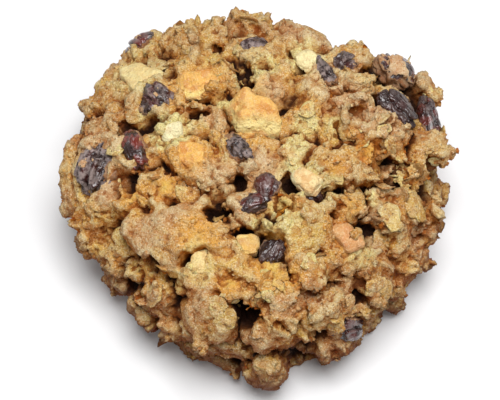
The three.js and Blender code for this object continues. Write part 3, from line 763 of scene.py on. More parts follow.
def collars(places):
    """Low lumps round the embedded fruit and chips, a little under their crowns."""
    kept = np.array([name not in FREE_STANDING for name in places.names])
    ring = SimpleNamespace(**{k: v[kept] for k, v in vars(places).items() if k != "names"})
    ring.half_across = ring.half_across * COLLAR_WIDTH
    ring.half_along = ring.half_along * COLLAR_WIDTH
    ring.lift = ring.lift - COLLAR_TOP * ring.deep
    ring.dome = COLLAR_DOME * np.minimum(ring.half_across, ring.half_along)
    return ring


shells = [lump_shells(places) for places in (all_lumps, collars(fruit), collars(chips))]
lump_points = np.concatenate(shells)
lump_count = len(lump_points) // ball_size(LUMP_ROWS, LUMP_COLUMNS)
heap_faces = many_balls(lump_count, LUMP_ROWS, LUMP_COLUMNS)
heap_faces += many_balls(1, CORE_ROWS, CORE_COLUMNS, first=len(lump_points))
heap_points = np.concatenate([lump_points, core_shell(CORE_ROWS, CORE_COLUMNS)])
heap, heap_quads = fused(heap_points, heap_faces, HEAP_VOXEL)
print("heap of lumps:", len(heap), "points,", heap.min(axis=0).round(1), heap.max(axis=0).round(1))

# %% [markdown]
# ## Wells and cracks
# The dough must leave room for each fruit and chip, and the deepest gaps are made on purpose. A Boolean
# cut would leave sharp, clean edges. Dough is pressed in, as by a thumb: a point inside the outline moves
# down along the place's outward direction to the floor of the well, and the wall rises steeply at its
# frayed edge.

# %% Pressing in
WELL_RISE = 14.0
WELL_FLOOR = 0.55
WELL_EDGE = 0.62
WELL_FRAY = 0.8
CRACK_RISE = 5
CRACK_EDGE = 0.8
CRACK_FRAY = 0.6
PRESS_REACH = 2.2
PRESS_HEIGHT = 14


def pressed(points, places, floor, rise, edge, fray):
    """Height lowered to floor + rise x (distance beyond the edge share), for points near each place."""
    points = points.copy()
    rough = fray * layered(points, size=4.2, octaves=3, seed=31)
    for i in range(len(places.lift)):
        offset = points - places.point[i]
        height = offset @ places.outwards[i]
        across = offset @ places.across[i] / places.half_across[i]
        along = offset @ places.along[i] / places.half_along[i]
        span = np.hypot(across, along)
        top = floor[i] + rise[i] * np.maximum(0, span + rough - edge)
        lower = (height > top) & (span < PRESS_REACH) & (height < PRESS_HEIGHT)
        points[lower] -= (height - top)[lower, None] * places.outwards[i]
    return points


def with_wells(points):
    """Wells for the fruit and the chips, and then the cracks, whose outlines wander as the lumps' do."""
    for places in (fruit, chips):
        floor = places.lift - WELL_FLOOR * places.deep
        points = pressed(points, places, floor, np.full(len(floor), WELL_RISE), WELL_EDGE, WELL_FRAY)
    bend, rise = bend_of(points), CRACK_RISE * cracks.lift
    return pressed(points + bend, cracks, -cracks.lift, rise, CRACK_EDGE, CRACK_FRAY) - bend


unpressed = heap
heap = with_wells(heap)
print("points pressed in:", int(np.any(heap != unpressed, axis=1).sum()), "of", len(heap))
heap[:, 2] = np.maximum(0, heap[:, 2])

# %% [markdown]
# ## Rolled oats in the dough
# A rolled oat is a thin oval disc with a groove along it, a wavy edge and a bend. Most of them lie under
# a film of dough, so a first set is melted into the dough before its last remesh and leaves flaky ridges.
# A second, thinner set comes later and shows as bare flakes.

# %% The flake's shape
FLAKE_LENGTH = 7.5
FLAKE_WIDTH = 5.6
FLAKE_COLUMNS = 12
# from the middle of the top round the edge to the underside: reach, and level as a share of the thickness
FLAKE_RINGS = ((0.5, 0.5), (0.93, 0.45), (1.0, 0.0), (0.6, -0.5))
FLAKE_GRID = (len(FLAKE_RINGS), FLAKE_COLUMNS)
RIM_WAVES = (0.14, 0.1)
SADDLE = (0.06, 0.09)
GROOVE_DEPTH = 0.35
GROOVE_WIDTH = 0.6


def flake_shells(centre, across, along, outwards, size, thickness, phase):
    """Oval disc of 4 rings with a wavy edge, raised by a saddle, x^2 less y^2, less a groove along x."""
    turn = np.arange(FLAKE_COLUMNS) * TAU / FLAKE_COLUMNS
    reach, side = np.array(FLAKE_RINGS).T
    azimuth = np.concatenate([[0, 0], np.tile(turn, len(reach))])
    out = np.concatenate([[0, 0], np.repeat(reach, FLAKE_COLUMNS)])
    level = np.concatenate([[0.5, -0.5], np.repeat(side, FLAKE_COLUMNS)])
    phase = phase[:, None]
    waves = RIM_WAVES[0] * np.sin(3 * azimuth + phase), RIM_WAVES[1] * np.sin(5 * azimuth - 2 * phase)
    edge = size[:, None] * (1 + waves[0] + waves[1])
    x = np.cos(azimuth) * out * edge * FLAKE_LENGTH / 2
    y = np.sin(azimuth) * out * edge * FLAKE_WIDTH / 2
    bend = SADDLE[0] * np.cos(phase) * x * x - SADDLE[1] * y * y
    groove = -GROOVE_DEPTH * np.exp(-((y / GROOVE_WIDTH) ** 2)) * (level > 0)
    z = bend + groove + level * thickness
    flat = centre[:, None] + x[..., None] * across[:, None] + y[..., None] * along[:, None]
    return (flat + z[..., None] * outwards[:, None]).reshape(-1, 3)


def leaning_frame(outwards, lean, turn):
    """Outwards tipped by a vector, with across and along square to it, turned by an angle."""
    tipped = unit(outwards + lean)
    side = unit(np.cross(tipped, np.where(np.abs(tipped[:, 2:]) < 0.9, [[0, 0, 1.0]], [[1.0, 0, 0]])))
    across = side * np.cos(turn)[:, None] + np.cross(tipped, side) * np.sin(turn)[:, None]
    return across, np.cross(tipped, across), tipped


print("points in a flake:", ball_size(*FLAKE_GRID))

# %% The relief that the solids have
SOLID_WELL_EDGE = 0.92
SAME_SIDE = 0.3
HIGH_ABOVE = 99


def span_share(places, p):
    """Distance of every point from every place's middle, as a share of the half-widths."""
    offset = p[:, None] - places.point
    across = np.einsum("ijk,jk->ij", offset, places.across) / places.half_across
    along = np.einsum("ijk,jk->ij", offset, places.along) / places.half_along
    return np.hypot(across, along)


def relief_at(p, outwards):
    """Height of the dough over the mound: the highest dome there, less the cracks and the wells."""
    warped = p + bend_of(p)
    span = span_share(all_lumps, warped)
    fall = 1 - (1 - np.minimum(span, 1) ** LUMP_POWER) ** (1 / LUMP_POWER)
    dome = all_lumps.lift - all_lumps.dome * fall
    dome[(span >= 1) | (outwards @ all_lumps.outwards.T < SAME_SIDE)] = -CREVICE_DEPTH
    height = dome.max(axis=1) + 0.5 * ripple(p, wavelength=7.0, phase=0.9)
    crack = -cracks.lift + CRACK_RISE * cracks.lift * np.maximum(0, span_share(cracks, warped) - CRACK_EDGE)
    height = np.minimum(height, crack.min(axis=1))
    for places in (fruit, chips):
        beyond = np.maximum(0, span_share(places, p) - SOLID_WELL_EDGE)
        well = places.lift - WELL_FLOOR * places.deep + WELL_RISE * beyond
        well[outwards @ places.outwards.T < SAME_SIDE] = HIGH_ABOVE
        height = np.minimum(height, well.min(axis=1))
    return height


# %% The flakes that the solids have
BIG_FLAKES = 25
BIG_TURN = 1.2
BIG_SPREAD = 0.93
BIG_LEAN = 0.8
BIG_RISE = 0.2
BIG_SIZE = (0.8, 0.4)


def big_flake_frames():
    """Even places on the relief, with frames tipped at odd angles, and each flake's size."""
    i = np.arange(BIG_FLAKES)
    point = mound_point(GOLDEN_ANGLE * i + BIG_TURN, (i + 0.5) / BIG_FLAKES * BIG_SPREAD)
    places = places_on(point, TAU * share(i, 3))
    height = relief_at(point, places.outwards)
    lean = np.stack([share(i, k) - 0.5 for k in range(3)], axis=-1) * BIG_LEAN
    tipped = unit(places.outwards + lean)
    centre = point + tipped * (height + BIG_RISE)[:, None]
    across = unit(places.across - tipped * np.sum(places.across * tipped, axis=1)[:, None])
    return centre, across, np.cross(tipped, across), tipped, BIG_SIZE[0] + BIG_SIZE[1] * share(i, 4)


# %% Places strewn on a skin
CLEARANCE = 1.15
SPOT_SPREAD = 0.6
FLAKY_LEAST = 0.2
FLAKE_FOOT = 1.5
FLAKY_AT = ((31, 0, 15), (37, 12, 10), (-3, 44, 8), (24, -20, 12), (4, -22, 9), (-38, 24, 8), (-12, 37, 9))


def strewn_on(points, quads, count, rng, weight):
    """Random points of a skin: a face drawn by its area and weight, then a point between its corners."""
    corner = points[quads]
    area = np.linalg.norm(np.cross(corner[:, 2] - corner[:, 0], corner[:, 3] - corner[:, 1]), axis=1)
    area = area * weight(corner.mean(axis=1))
    drawn = np.searchsorted(np.cumsum(area), rng.random(count) * area.sum())
    drawn = np.minimum(drawn, len(quads) - 1)
    mix = rng.dirichlet((1, 1, 1, 1), count)
    normals = point_normals(points, quads)
    place = np.einsum("ij,ijk->ik", mix, corner[drawn])
    return place, unit(normals[quads[drawn]].mean(axis=1)), quads[drawn, 0]


def clear_of_inclusions(p):
    """1 away from the fruit and chips and 0 on them."""
    nearest = np.minimum(span_share(fruit, p).min(axis=1), span_share(chips, p).min(axis=1))
    return (nearest > CLEARANCE).astype(float)


def near_spots(p, rows):
    """Sum of bell curves round spots seen at a right, an up and with a radius, at most 1."""
    right, up, radius = np.array(rows, float).T
    middle = seen_point(right, up)
    total = np.zeros(len(p))
    for k in range(len(radius)):
        total += np.exp(-np.sum((p - middle[k]) ** 2, axis=1) / (2 * (radius[k] * SPOT_SPREAD) ** 2))
    return np.minimum(1, total)


def flaky_weight(p):
    """More flakes where the heap is flaky, some everywhere, none on the flat base."""
    return (FLAKY_LEAST + near_spots(p, FLAKY_AT)) * (p[:, 2] > FLAKE_FOOT) * clear_of_inclusions(p)


print("share of the heap that is flaky:", (near_spots(heap, FLAKY_AT) > 0.5).mean().round(2))

# %% Flakes melted into the dough
COATED_FLAKES = 320
COATED_THICKNESS = 1.25
COATED_LEAN = 0.42
COATED_SINK = 0.5
COATED_SIZE = (0.55, 1.05)
DOUGH_VOXEL = 0.64

rng = np.random.default_rng(12)
where, facing, _ = strewn_on(heap, heap_quads, COATED_FLAKES, rng, flaky_weight)
lean = rng.normal(0, COATED_LEAN, (COATED_FLAKES, 3))
frames = leaning_frame(facing, lean, rng.random(COATED_FLAKES) * TAU)
centre = where + facing * rng.uniform(-COATED_SINK, COATED_SINK, (COATED_FLAKES, 1))
size = rng.uniform(*COATED_SIZE, COATED_FLAKES)
coated = flake_shells(centre, *frames, size, COATED_THICKNESS, rng.random(COATED_FLAKES) * TAU)
big = flake_shells(*big_flake_frames(), COATED_THICKNESS, np.arange(BIG_FLAKES) * 1.0)
flake_quads = many_balls(COATED_FLAKES + BIG_FLAKES, *FLAKE_GRID, first=len(heap))
dough, dough_quads = fused(np.concatenate([heap, coated, big]), [heap_quads] + flake_quads, DOUGH_VOXEL)
print("dough with oats:", len(dough), "points,", 2 * len(dough_quads), "triangles")

# %% [markdown]
# ## The crumb
# Close up, baked dough is a mass of grains from half a millimetre to three millimetres, with pores
# between them, and narrow clefts run where two lumps met. A Displace modifier would push along the
# normals too, but it takes one texture at a time. Here the whole sum is worked out on the points: lumps,
# broken faces and grains, weaker on the smooth crusty lumps. The base lies on the tray, so it stays flat.

# %% Clefts between lumps
CLEFT_DEPTH = 2.6
CLEFT_WIDTH = 0.09
CLEFT_PATCH = 7.0
CLEFT_AMOUNT = (-0.35, 0.25)
CLEFT_FOOT = (0.5, 3.0)
LUMP_THICKNESS = 12


def in_parts(function, p, size):
    """The function over the points, some thousands at a time, which keeps the arrays small."""
    return np.concatenate([function(p[k : k + size]) for k in range(0, len(p), size)])


def lump_ranks(p):
    """Three numbers a point: which lump it lies deepest in, how deep, and how deep in the next."""
    warped = p + bend_of(p)
    span = span_share(all_lumps, warped)
    offset = np.einsum("ijk,jk->ij", p[:, None] - all_lumps.point, all_lumps.outwards)
    rise = (offset - all_lumps.lift + all_lumps.dome) / all_lumps.dome
    far = (span**LUMP_POWER + np.maximum(0, rise) ** LUMP_POWER) ** (1 / LUMP_POWER)
    far[np.abs(offset) > LUMP_THICKNESS] = FAR
    rank = np.argpartition(far, 1, axis=1)[:, :2]
    best = np.take_along_axis(far, rank, axis=1)
    swap = best[:, 0] > best[:, 1]
    return np.stack([np.where(swap, rank[:, 1], rank[:, 0]), best.min(axis=1), best.max(axis=1)], axis=-1)


ranks = in_parts(lump_ranks, dough, size=8000)
border = np.exp(-(((ranks[:, 2] - ranks[:, 1]) / CLEFT_WIDTH) ** 2))
patchy = ease_between(*CLEFT_AMOUNT, noise(dough, size=CLEFT_PATCH, seed=91))
cleft = border * patchy * clear_of_inclusions(dough)
outwards = unit(mound_slope(dough))
dough = dough - outwards * (CLEFT_DEPTH * cleft * ease_between(*CLEFT_FOOT, dough[:, 2]))[:, None]
tint = share(ranks[:, 0], 1)
print("points in clefts:", int((cleft > 0.5).sum()), "of", len(dough))

# %% Crumb relief
BASE_FADE = (0.1, 1.2)
SMOOTH_AT = ((-22, -8, 12), (-12, -31, 8), (14, 42, 9), (-9, -16, 8), (14, -10, 8), (-34, 10, 5))


def crumb(p):
    """Sum of lumpy noise, broken faces of two sizes and round grains, less the pores."""
    smooth = near_spots(p, SMOOTH_AT)
    strength = 1 - 0.7 * smooth
    warped = p + 0.6 * three_ripples(p, wavelength=4, phases=(1, 3, 5))
    lumpy = 0.7 * layered(p, size=5.5, octaves=2, seed=41)
    broken = 0.7 * facets(warped, size=4.6, seed=51) + 0.4 * facets(warped, size=2.2, seed=53)
    fine = 0.35 * (grains(p, size=1.3, seed=61) - 0.45)
    pores = ease_between(0.5, 0.8, noise(p, size=1.5, seed=71))
    return strength * (lumpy + broken + fine) - 0.7 * pores * (1 - 0.4 * smooth)


normals = point_normals(dough, dough_quads)
on_base = 1 - ease_between(*BASE_FADE, dough[:, 2])
dough = dough + normals * (crumb(dough) * (1 - on_base))[:, None]
dough[:, 2] = np.where(on_base > 0.99, 0, np.maximum(0, dough[:, 2]))
print("dough with its crumb spans", dough.min(axis=0).round(1), dough.max(axis=0).round(1))

# %% Holding the size, and a plain base
# millimetres that a point may stand past the box along X, Y and Z
GIVE = np.array([1.0, 1.0, 0.5])
BASE_MIDDLE = 36.0
BASE_MARGIN = 2
BASE_LOW = 3


def held_in(p):
    """Points beyond the solids' box are drawn back to within a little of it, the farther the more."""
    low, high = np.array(cad_box) / MM - MIDDLE
    past = np.maximum(0, p - high) - np.maximum(0, low - p)
    return np.clip(p, low, high) + GIVE * np.tanh(past / GIVE)


dough = held_in(dough)
dough[:, 2] = np.maximum(0, dough[:, 2])
# whatever is low under the cookie's middle lies flat on the tray
on_tray = (np.hypot(dough[:, 0], dough[:, 1]) < BASE_MIDDLE + BASE_MARGIN) & (dough[:, 2] < BASE_LOW)
dough[on_tray, 2] = 0


def with_plain_base(quads):
    """Takes the faces out of the base's flat middle. Gives the rest, and the edges that go round it."""
    corner = dough[quads]
    away = np.hypot(corner[..., 0], corner[..., 1]).max(axis=1)
    inside = (corner[..., 2].max(axis=1) == 0) & (away < BASE_MIDDLE)
    edges = np.stack([quads[inside], np.roll(quads[inside], -1, axis=1)], axis=-1).reshape(-1, 2)
    forward = edges[:, 0].astype(np.int64) * len(dough) + edges[:, 1]
    backward = edges[:, 1].astype(np.int64) * len(dough) + edges[:, 0]
    return quads[~inside], edges[~np.isin(forward, backward)]


shell_quads, ring_edges = with_plain_base(dough_quads)
used = np.unique(shell_quads)
number = np.zeros(len(dough), np.int32)
number[used] = np.arange(len(used))
dough, tint, on_base = dough[used], tint[used], on_base[used]
dough_quads = number[shell_quads]
fan = np.column_stack([number[ring_edges], np.full(len(ring_edges), len(dough))])
print("dough:", 2 * len(dough_quads) + len(fan), "triangles")

# %% [markdown]
# ## Numbers for the colours
# A baked surface's colour follows its shape, and the painted light and shade follow it too: proud tops
# get a pale painted highlight, hollows a toffee painted shade, pits and deep gaps painted shade and painted
# shadow, and steep faces near the tray are browner, partly from baking and partly as painted shade. A
# painted picture would have to be drawn anew for each change of shape. So the shapes are measured here and
# stored on the points, and the material turns them into colour. Spots that are creamier, rosier, dustier
# or more purple than the rest are named places, and so are spots of painted shade.

# %% Named spots
# right, up and radius in millimetres, as the viewer sees them
SPOTS = {
    "toast": (
        (-13.3, -10.5, 7.5), (8.0, -1.5, 5), (-5.5, -22, 4), (4, -17, 4.5), (9.5, -19.5, 5), (2.5, 28, 4),
        (-15, 9, 5), (26, -2, 3.5), (-22, 3, 4), (30, 12, 5), (6, 7, 3), (-31, 1, 4), (13, 24, 3),
        (21, 7, 4),
    ),
    "cream": (
        (-14.6, -17, 3.5), (-1.5, -10.5, 3.5), (7.6, -4.6, 6), (3, -8, 4), (30, 0, 3), (-9.5, 1, 2.6),
        (-19, 2.8, 2.0), (-8.5, -26, 1.4), (21, 3.4, 3.5), (-7, 25, 3.5), (-1.5, 31, 4), (14, 19, 4),
        (-28, 22, 3), (-20, -21, 3.5), (28, -24, 2.5), (12, 14, 4), (4, 34, 4), (22, 19, 3),
        (-26, -31, 3), (28, -14, 5),
    ),
    # purple-grey where fruit lies under the dough, and in part painted shade under a lump's lower lip
    "purple_and_shade": (
        (-12, -35, 5), (15, -23, 4), (16, 45, 2.5), (37, -29, 3), (-46, 27, 3), (8.5, -17, 2.5),
        (-42, -20, 4), (43, -10, 5),
    ),
    "rosy": (
        (-25, -9, 6), (-13, -28, 6), (31, 21, 8), (24, 26, 5), (24, -10, 5), (19, -27, 5), (43, -9, 7),
        (-40, 19, 5), (-38, -18, 6), (22, 6, 5), (3, -36, 6), (-10, 22, 4), (-36, 3, 6), (10, 42, 5),
        (40, -20, 5), (9, -26, 5),
    ),
    # painted shade: spots along the back and at a few low places, darkened as if in shade
    "painted_shade_spots": (
        (-36, 27, 8), (-24, 37, 8), (-14, 42, 9), (2, 42, 8), (14, 43, 8), (-34, 20, 6), (20, -8, 5),
        (22, -20, 8), (31, -18, 6), (-11, -31, 9), (-6, -38, 6), (19, 6, 6), (-44, 18, 7),
    ),
    "dusty": (
        (10, 42, 7), (22, 27, 8), (32, 19, 8), (18, 34, 5), (-2, 10, 5), (5, 28, 6), (28, 34, 4),
        (-8, 20, 5), (-10, 6, 6), (4, 7, 7), (-38, 1, 5), (-4, -4, 5), (31, -7, 6),
    ),
}
print("spots:", {name: len(rows) for name, rows in SPOTS.items()})

# %% Measures of the surface
# millimetres that count as 1
PIT_UNIT = 0.25
HOLLOW_UNIT = 1.2
GAP_UNIT = 4
DEPTH_UNIT = 6
# rounds of smoothing or of spreading, each about one face wide
NEAR_ROUNDS = 3
WIDE_ROUNDS = 45
CREST_ROUNDS = 5
CREST_SMOOTHING = 4
# how steep and how low a place is, from 0 to 1
WALL_STEEPNESS = (0.2, 0.85)
WALL_HEIGHT = (28, 8)
LOW_HEIGHT = (34, 12)


def crest_over(value, quads, rounds):
    """The highest value within some faces of each point: each round spreads it by one face."""
    for _ in range(rounds):
        highest = value[quads].max(axis=1)
        value = value.copy()
        np.maximum.at(value, quads.ravel(), np.repeat(highest, 4))
    return value


def wall_of(p, facing):
    """1 low on the side wall and 0 on top: steep and below the shoulder."""
    return ease_between(*WALL_STEEPNESS, 1 - facing[..., 2]) * ease_between(*WALL_HEIGHT, p[..., 2])


def store(made, **values):
    """Writes each array of numbers, one to a point, as an attribute of the mesh."""
    for name, value in values.items():
        layer = made.data.attributes.new(name, "FLOAT", "POINT")
        layer.data.foreach_set("value", np.broadcast_to(value, len(made.data.vertices)).astype(np.float32))


normals = point_normals(dough, dough_quads)
near = relaxed(dough, dough_quads, NEAR_ROUNDS)
wide = relaxed(near, dough_quads, WIDE_ROUNDS)
pit = np.sum((near - dough) * normals, axis=1)
hollow = np.sum((wide - dough) * normals, axis=1)
height = height_over_mound(dough)
crest = crest_over(height, dough_quads, CREST_ROUNDS)[:, None]
crest = relaxed(crest, dough_quads, CREST_SMOOTHING)[:, 0]
gap = crest - height
spread = {"pit": pit, "hollow": hollow, "gap": gap, "height": height}
print({name: np.percentile(value, (5, 25, 50, 75, 95)).round(2).tolist() for name, value in spread.items()})

# %% The dough's mesh with its measures
MELT_REACH = (2.1, 0.95)
MELT_HEIGHT = 6
TOAST_SHARE = 0.5
DEPTH_LIMITS = (-0.5, 1.5)


def melted(p, column):
    """How much of a chip's cream (column 1) or toast (column 0) has run into the dough round it."""
    amount = np.array([CHIP_LOOK[name][column] for name in chips.names])
    level = np.abs(height_over_mound(p)) < MELT_HEIGHT
    ring = ease_between(*MELT_REACH, span_share(chips, p)) * level[:, None]
    return (ring * amount).max(axis=1)


def for_shell(value):
    """The same numbers with one more for the base's middle."""
    return np.append(value, value[fan[0, 0]])


dough_piece = mesh_object("dough_crumb", np.vstack([dough, (0, 0, 0)]), dough_quads, fan)
measured = {
    "pit": pit / PIT_UNIT,
    "hollow": hollow / HOLLOW_UNIT,
    "gap": gap / GAP_UNIT,
    "depth": np.clip(-height / DEPTH_UNIT, *DEPTH_LIMITS),
    "wall": wall_of(dough, normals),
    "base": on_base,
    "tint": tint,
    "low": ease_between(*LOW_HEIGHT, dough[:, 2]),
    "steep": 1 - relaxed(normals[:, 2:], dough_quads, 1)[:, 0],
    **{name: near_spots(dough, rows) for name, rows in SPOTS.items()},
}
measured["toast"] = np.maximum(measured["toast"], TOAST_SHARE * melted(dough, 0))
measured["cream"] = np.maximum(measured["cream"], melted(dough, 1))
store(dough_piece, **{name: for_shell(value) for name, value in measured.items()})
print("measures stored:", ", ".join(measured))

# %% [markdown]
# ## Shader sums
# Materials are node trees, and a tree of sums is hard to read as nodes. A small class stands for one
# node's output, so that a sum of masks is written as a sum, and one method of a second class adds any
# other node.

# %% Wires


class Wire:
    """One output of a node. Sums, products and the like of wires and numbers add Math nodes."""

    def __init__(self, finish, socket):
        self.finish = finish
        self.socket = socket

    def beside(self, name):
        """Another output of the same node."""
        return Wire(self.finish, self.socket.node.outputs[name])

    def maths(self, operation, *others, clamp=False):
        """A Math node on this wire and others."""
        values = dict(enumerate((self,) + others))
        return self.finish.node("Math", {"operation": operation, "use_clamp": clamp}, values)

    def __add__(self, other):
        return self.maths("ADD", other)

    def __radd__(self, other):
        return self.maths("ADD", other)

    def __sub__(self, other):
        return self.maths("SUBTRACT", other)

    def __rsub__(self, other):
        return self.finish.node("Math", {"operation": "SUBTRACT"}, {0: other, 1: self})

    def __mul__(self, other):
        return self.maths("MULTIPLY", other)

    def __rmul__(self, other):
        return self.maths("MULTIPLY", other)

    def clamped(self):
        """The same number held between 0 and 1."""
        return self.maths("ADD", 0.0, clamp=True)

    def rising(self, low, high):
        """0 below low and 1 above high, smooth between. A low above high gives the falling form."""
        sockets = {"Value": self, "From Min": min(low, high), "From Max": max(low, high)}
        rise = self.finish.node("MapRange", {"interpolation_type": "SMOOTHSTEP"}, sockets)
        return rise if low < high else 1 - rise


# %% Finishes


def linear(red, green, blue):
    """Screen colour, 0 to 255, to linear light: the power 2.4 of it, with a straight part near black."""
    shown = np.array([red, green, blue]) / 255
    light = np.where(shown <= 0.04045, shown / 12.92, ((shown + 0.055) / 1.055) ** 2.4)
    return (*light.tolist(), 1.0)


class Finish:
    """A material being built, with methods that add nodes to it."""

    def __init__(self, name):
        self.material = bpy.data.materials.new(name)
        self.material.use_nodes = True
        self.tree = self.material.node_tree
        self.tree.nodes.clear()
        self.place = self.node("TexCoord", out="Object")

    def node(self, kind, settings=None, sockets=None, out=0):
        """Adds a node: its settings first, then the numbers or wires of its sockets. Gives one output."""
        node = self.tree.nodes.new("ShaderNode" + kind)
        for key, value in (settings or {}).items():
            setattr(node, key, value)
        for key, value in (sockets or {}).items():
            if isinstance(value, Wire):
                self.tree.links.new(value.socket, node.inputs[key])
            else:
                node.inputs[key].default_value = value
        return Wire(self, node.outputs[out]) if node.outputs else None

    def measure(self, name):
        """The numbers that the mesh stores under a name."""
        return self.node("Attribute", {"attribute_name": name}, out="Fac")

    def speckle(self, size, detail=2.0, roughness=0.5):
        """Noise of a size in millimetres, spread to fill most of 0 to 1."""
        sockets = {"Vector": self.place, "Scale": 1 / (size * MM), "Detail": detail, "Roughness": roughness}
        return self.node("TexNoise", None, sockets, out="Fac").rising(0.25, 0.75)

    def cells(self, size, ragged=0.0):
        """Distance from each cell's middle, as a share of its size, and a number of the cell's own."""
        place = self.place
        if ragged:
            shake = self.node("TexNoise", None, {"Vector": place, "Scale": 2 / (size * MM)}, out="Color")
            sockets = {0: shake, 1: (ragged * size * MM,) * 3, 2: place}
            place = self.node("VectorMath", {"operation": "MULTIPLY_ADD"}, sockets)
        sockets = {"Vector": place, "Scale": 1 / (size * MM)}
        away = self.node("TexVoronoi", {"feature": "F1"}, sockets, out="Distance")
        return away, self.node("SeparateColor", None, {0: away.beside("Color")})

    def mix(self, amount, first, second, blend="MIX"):
        """First colour turned into the second by an amount."""
        settings = {"data_type": "RGBA", "blend_type": blend, "clamp_factor": True}
        return self.node("Mix", settings, {0: amount, 6: first, 7: second}, out=2)

    def bump(self, height, distance, strength):
        """Normal tilted by a height, whose full reach is a distance in millimetres."""
        sockets = {"Height": height, "Distance": distance * MM, "Strength": strength}
        return self.node("Bump", None, sockets, out="Normal")

    def surface(self, **sockets):
        """The material, with a Principled shader whose sockets are named with _ for a space."""
        named = {key.replace("_", " "): value for key, value in sockets.items()}
        self.node("OutputMaterial", None, {"Surface": self.node("BsdfPrincipled", None, named)})
        return self.material


# %% [markdown]
# ## The dough's finish
# The crust is golden, with yellower and rosier lumps. Its proud tops are pale as a painted highlight and
# its hollows toffee as painted shade. It is orange and glows where the oven caught it, brown on its steep
# low faces partly from baking and partly as painted shade, warm and dim in the gaps as painted shade, and
# black as painted shadow in the deepest. It is finely speckled with sugar grains and pores, with painted
# sparkle and glints among them. A picture wrapped over it would smear down the steep sides and into the
# gaps. Here each of these is a mask made from noise and from the measures, and a chain of mixes lays one
# colour over another. The underside comes last, because the tray browned it evenly.

# %% Colours of the dough
GOLDEN = linear(222, 172, 82)
YELLOW = linear(230, 194, 98)
ROSY = linear(202, 150, 100)
DUSTY = linear(220, 190, 148)
CREAM = linear(240, 228, 150)
ORANGE = linear(228, 166, 70)
GLOW = linear(242, 208, 106)
RIDGE = linear(178, 110, 44)
# dark of the pores, and also painted shade in small pits
PORE_AND_SHADE = linear(118, 64, 24)
CRUST = linear(152, 94, 38)
# pale is the crust's own paler grit and also a painted highlight on proud tops; toffee is painted shade in
# hollows
PALE_AND_HIGHLIGHT = linear(226, 206, 158)
TOFFEE_SHADE = linear(180, 116, 48)
# the wall's brown is partly from baking and partly painted shade
WALL_BROWN_AND_SHADE = linear(112, 62, 20)
# painted shade and painted shadow for the gaps; the shade also darkens the low film on fruit
SHADE = linear(94, 46, 8)
PAINTED_SHADOW_BLACK = linear(44, 18, 2)
# sugar grains that double as a painted sparkle, and painted glints
SUGAR_AND_SPARKLE = linear(240, 222, 178)
PAINTED_GLINT = linear(248, 240, 218)
# warm tint of the painted shade in gaps, hollows and on steep faces
PAINTED_SHADE_TINT = linear(238, 176, 76)
# purple-grey of fruit under the dough, in part painted shade
PURPLE = linear(140, 104, 96)
BASE = linear(176, 122, 66)
print("golden crust in linear light:", [round(part, 2) for part in GOLDEN[:3]])

# %% Speckle close up


def speckled(f, colour, strength=1.0):
    """Crust close up: soft light and dark grit, a few sugar grains with a painted sparkle, painted glints,
    and small dark pores here and there.
    """
    grit = f.speckle(0.6, 3, 0.75)
    grain, pick = f.cells(0.6)
    dot, dot_pick = f.cells(0.95)
    _, level = f.cells(1.3, 0.8)
    pore = dot_pick.rising(0.5, 0.9) * (dot + f.speckle(0.4) * 0.3).rising(0.5, 0.2)
    fine = f.speckle(0.32, 1)
    # pale sugary grit, partly a painted sparkle
    colour = f.mix(grit.rising(0.5, 1.0) * 0.45 * strength, colour, SUGAR_AND_SPARKLE)
    colour = f.mix(grit.rising(0.5, 0.0) * 0.55 * strength, colour, RIDGE)
    # painted glints: sparse near-white flecks
    colour = f.mix(fine.rising(0.7, 0.95) * 0.4 * strength, colour, PAINTED_GLINT)
    colour = f.mix(fine.rising(0.4, 0.1) * 0.4 * strength, colour, RIDGE)
    # sugar grains, palest at their middles, partly as painted sparkle
    colour = f.mix(pick.rising(0.75, 0.95) * grain.rising(0.6, 0.2) * 0.5 * strength, colour, SUGAR_AND_SPARKLE)
    colour = f.mix(level.rising(0.6, 1.0) * 0.35 * strength, colour, PALE_AND_HIGHLIGHT)
    colour = f.mix(level.rising(0.4, 0.0) * 0.5 * strength, colour, RIDGE)
    colour = f.mix(pore * 0.65 * strength, colour, PORE_AND_SHADE)
    return colour, grit * 1.2 + level * 1.2 + fine * 0.2 - grain * 0.6 - pore


# %% Dough material


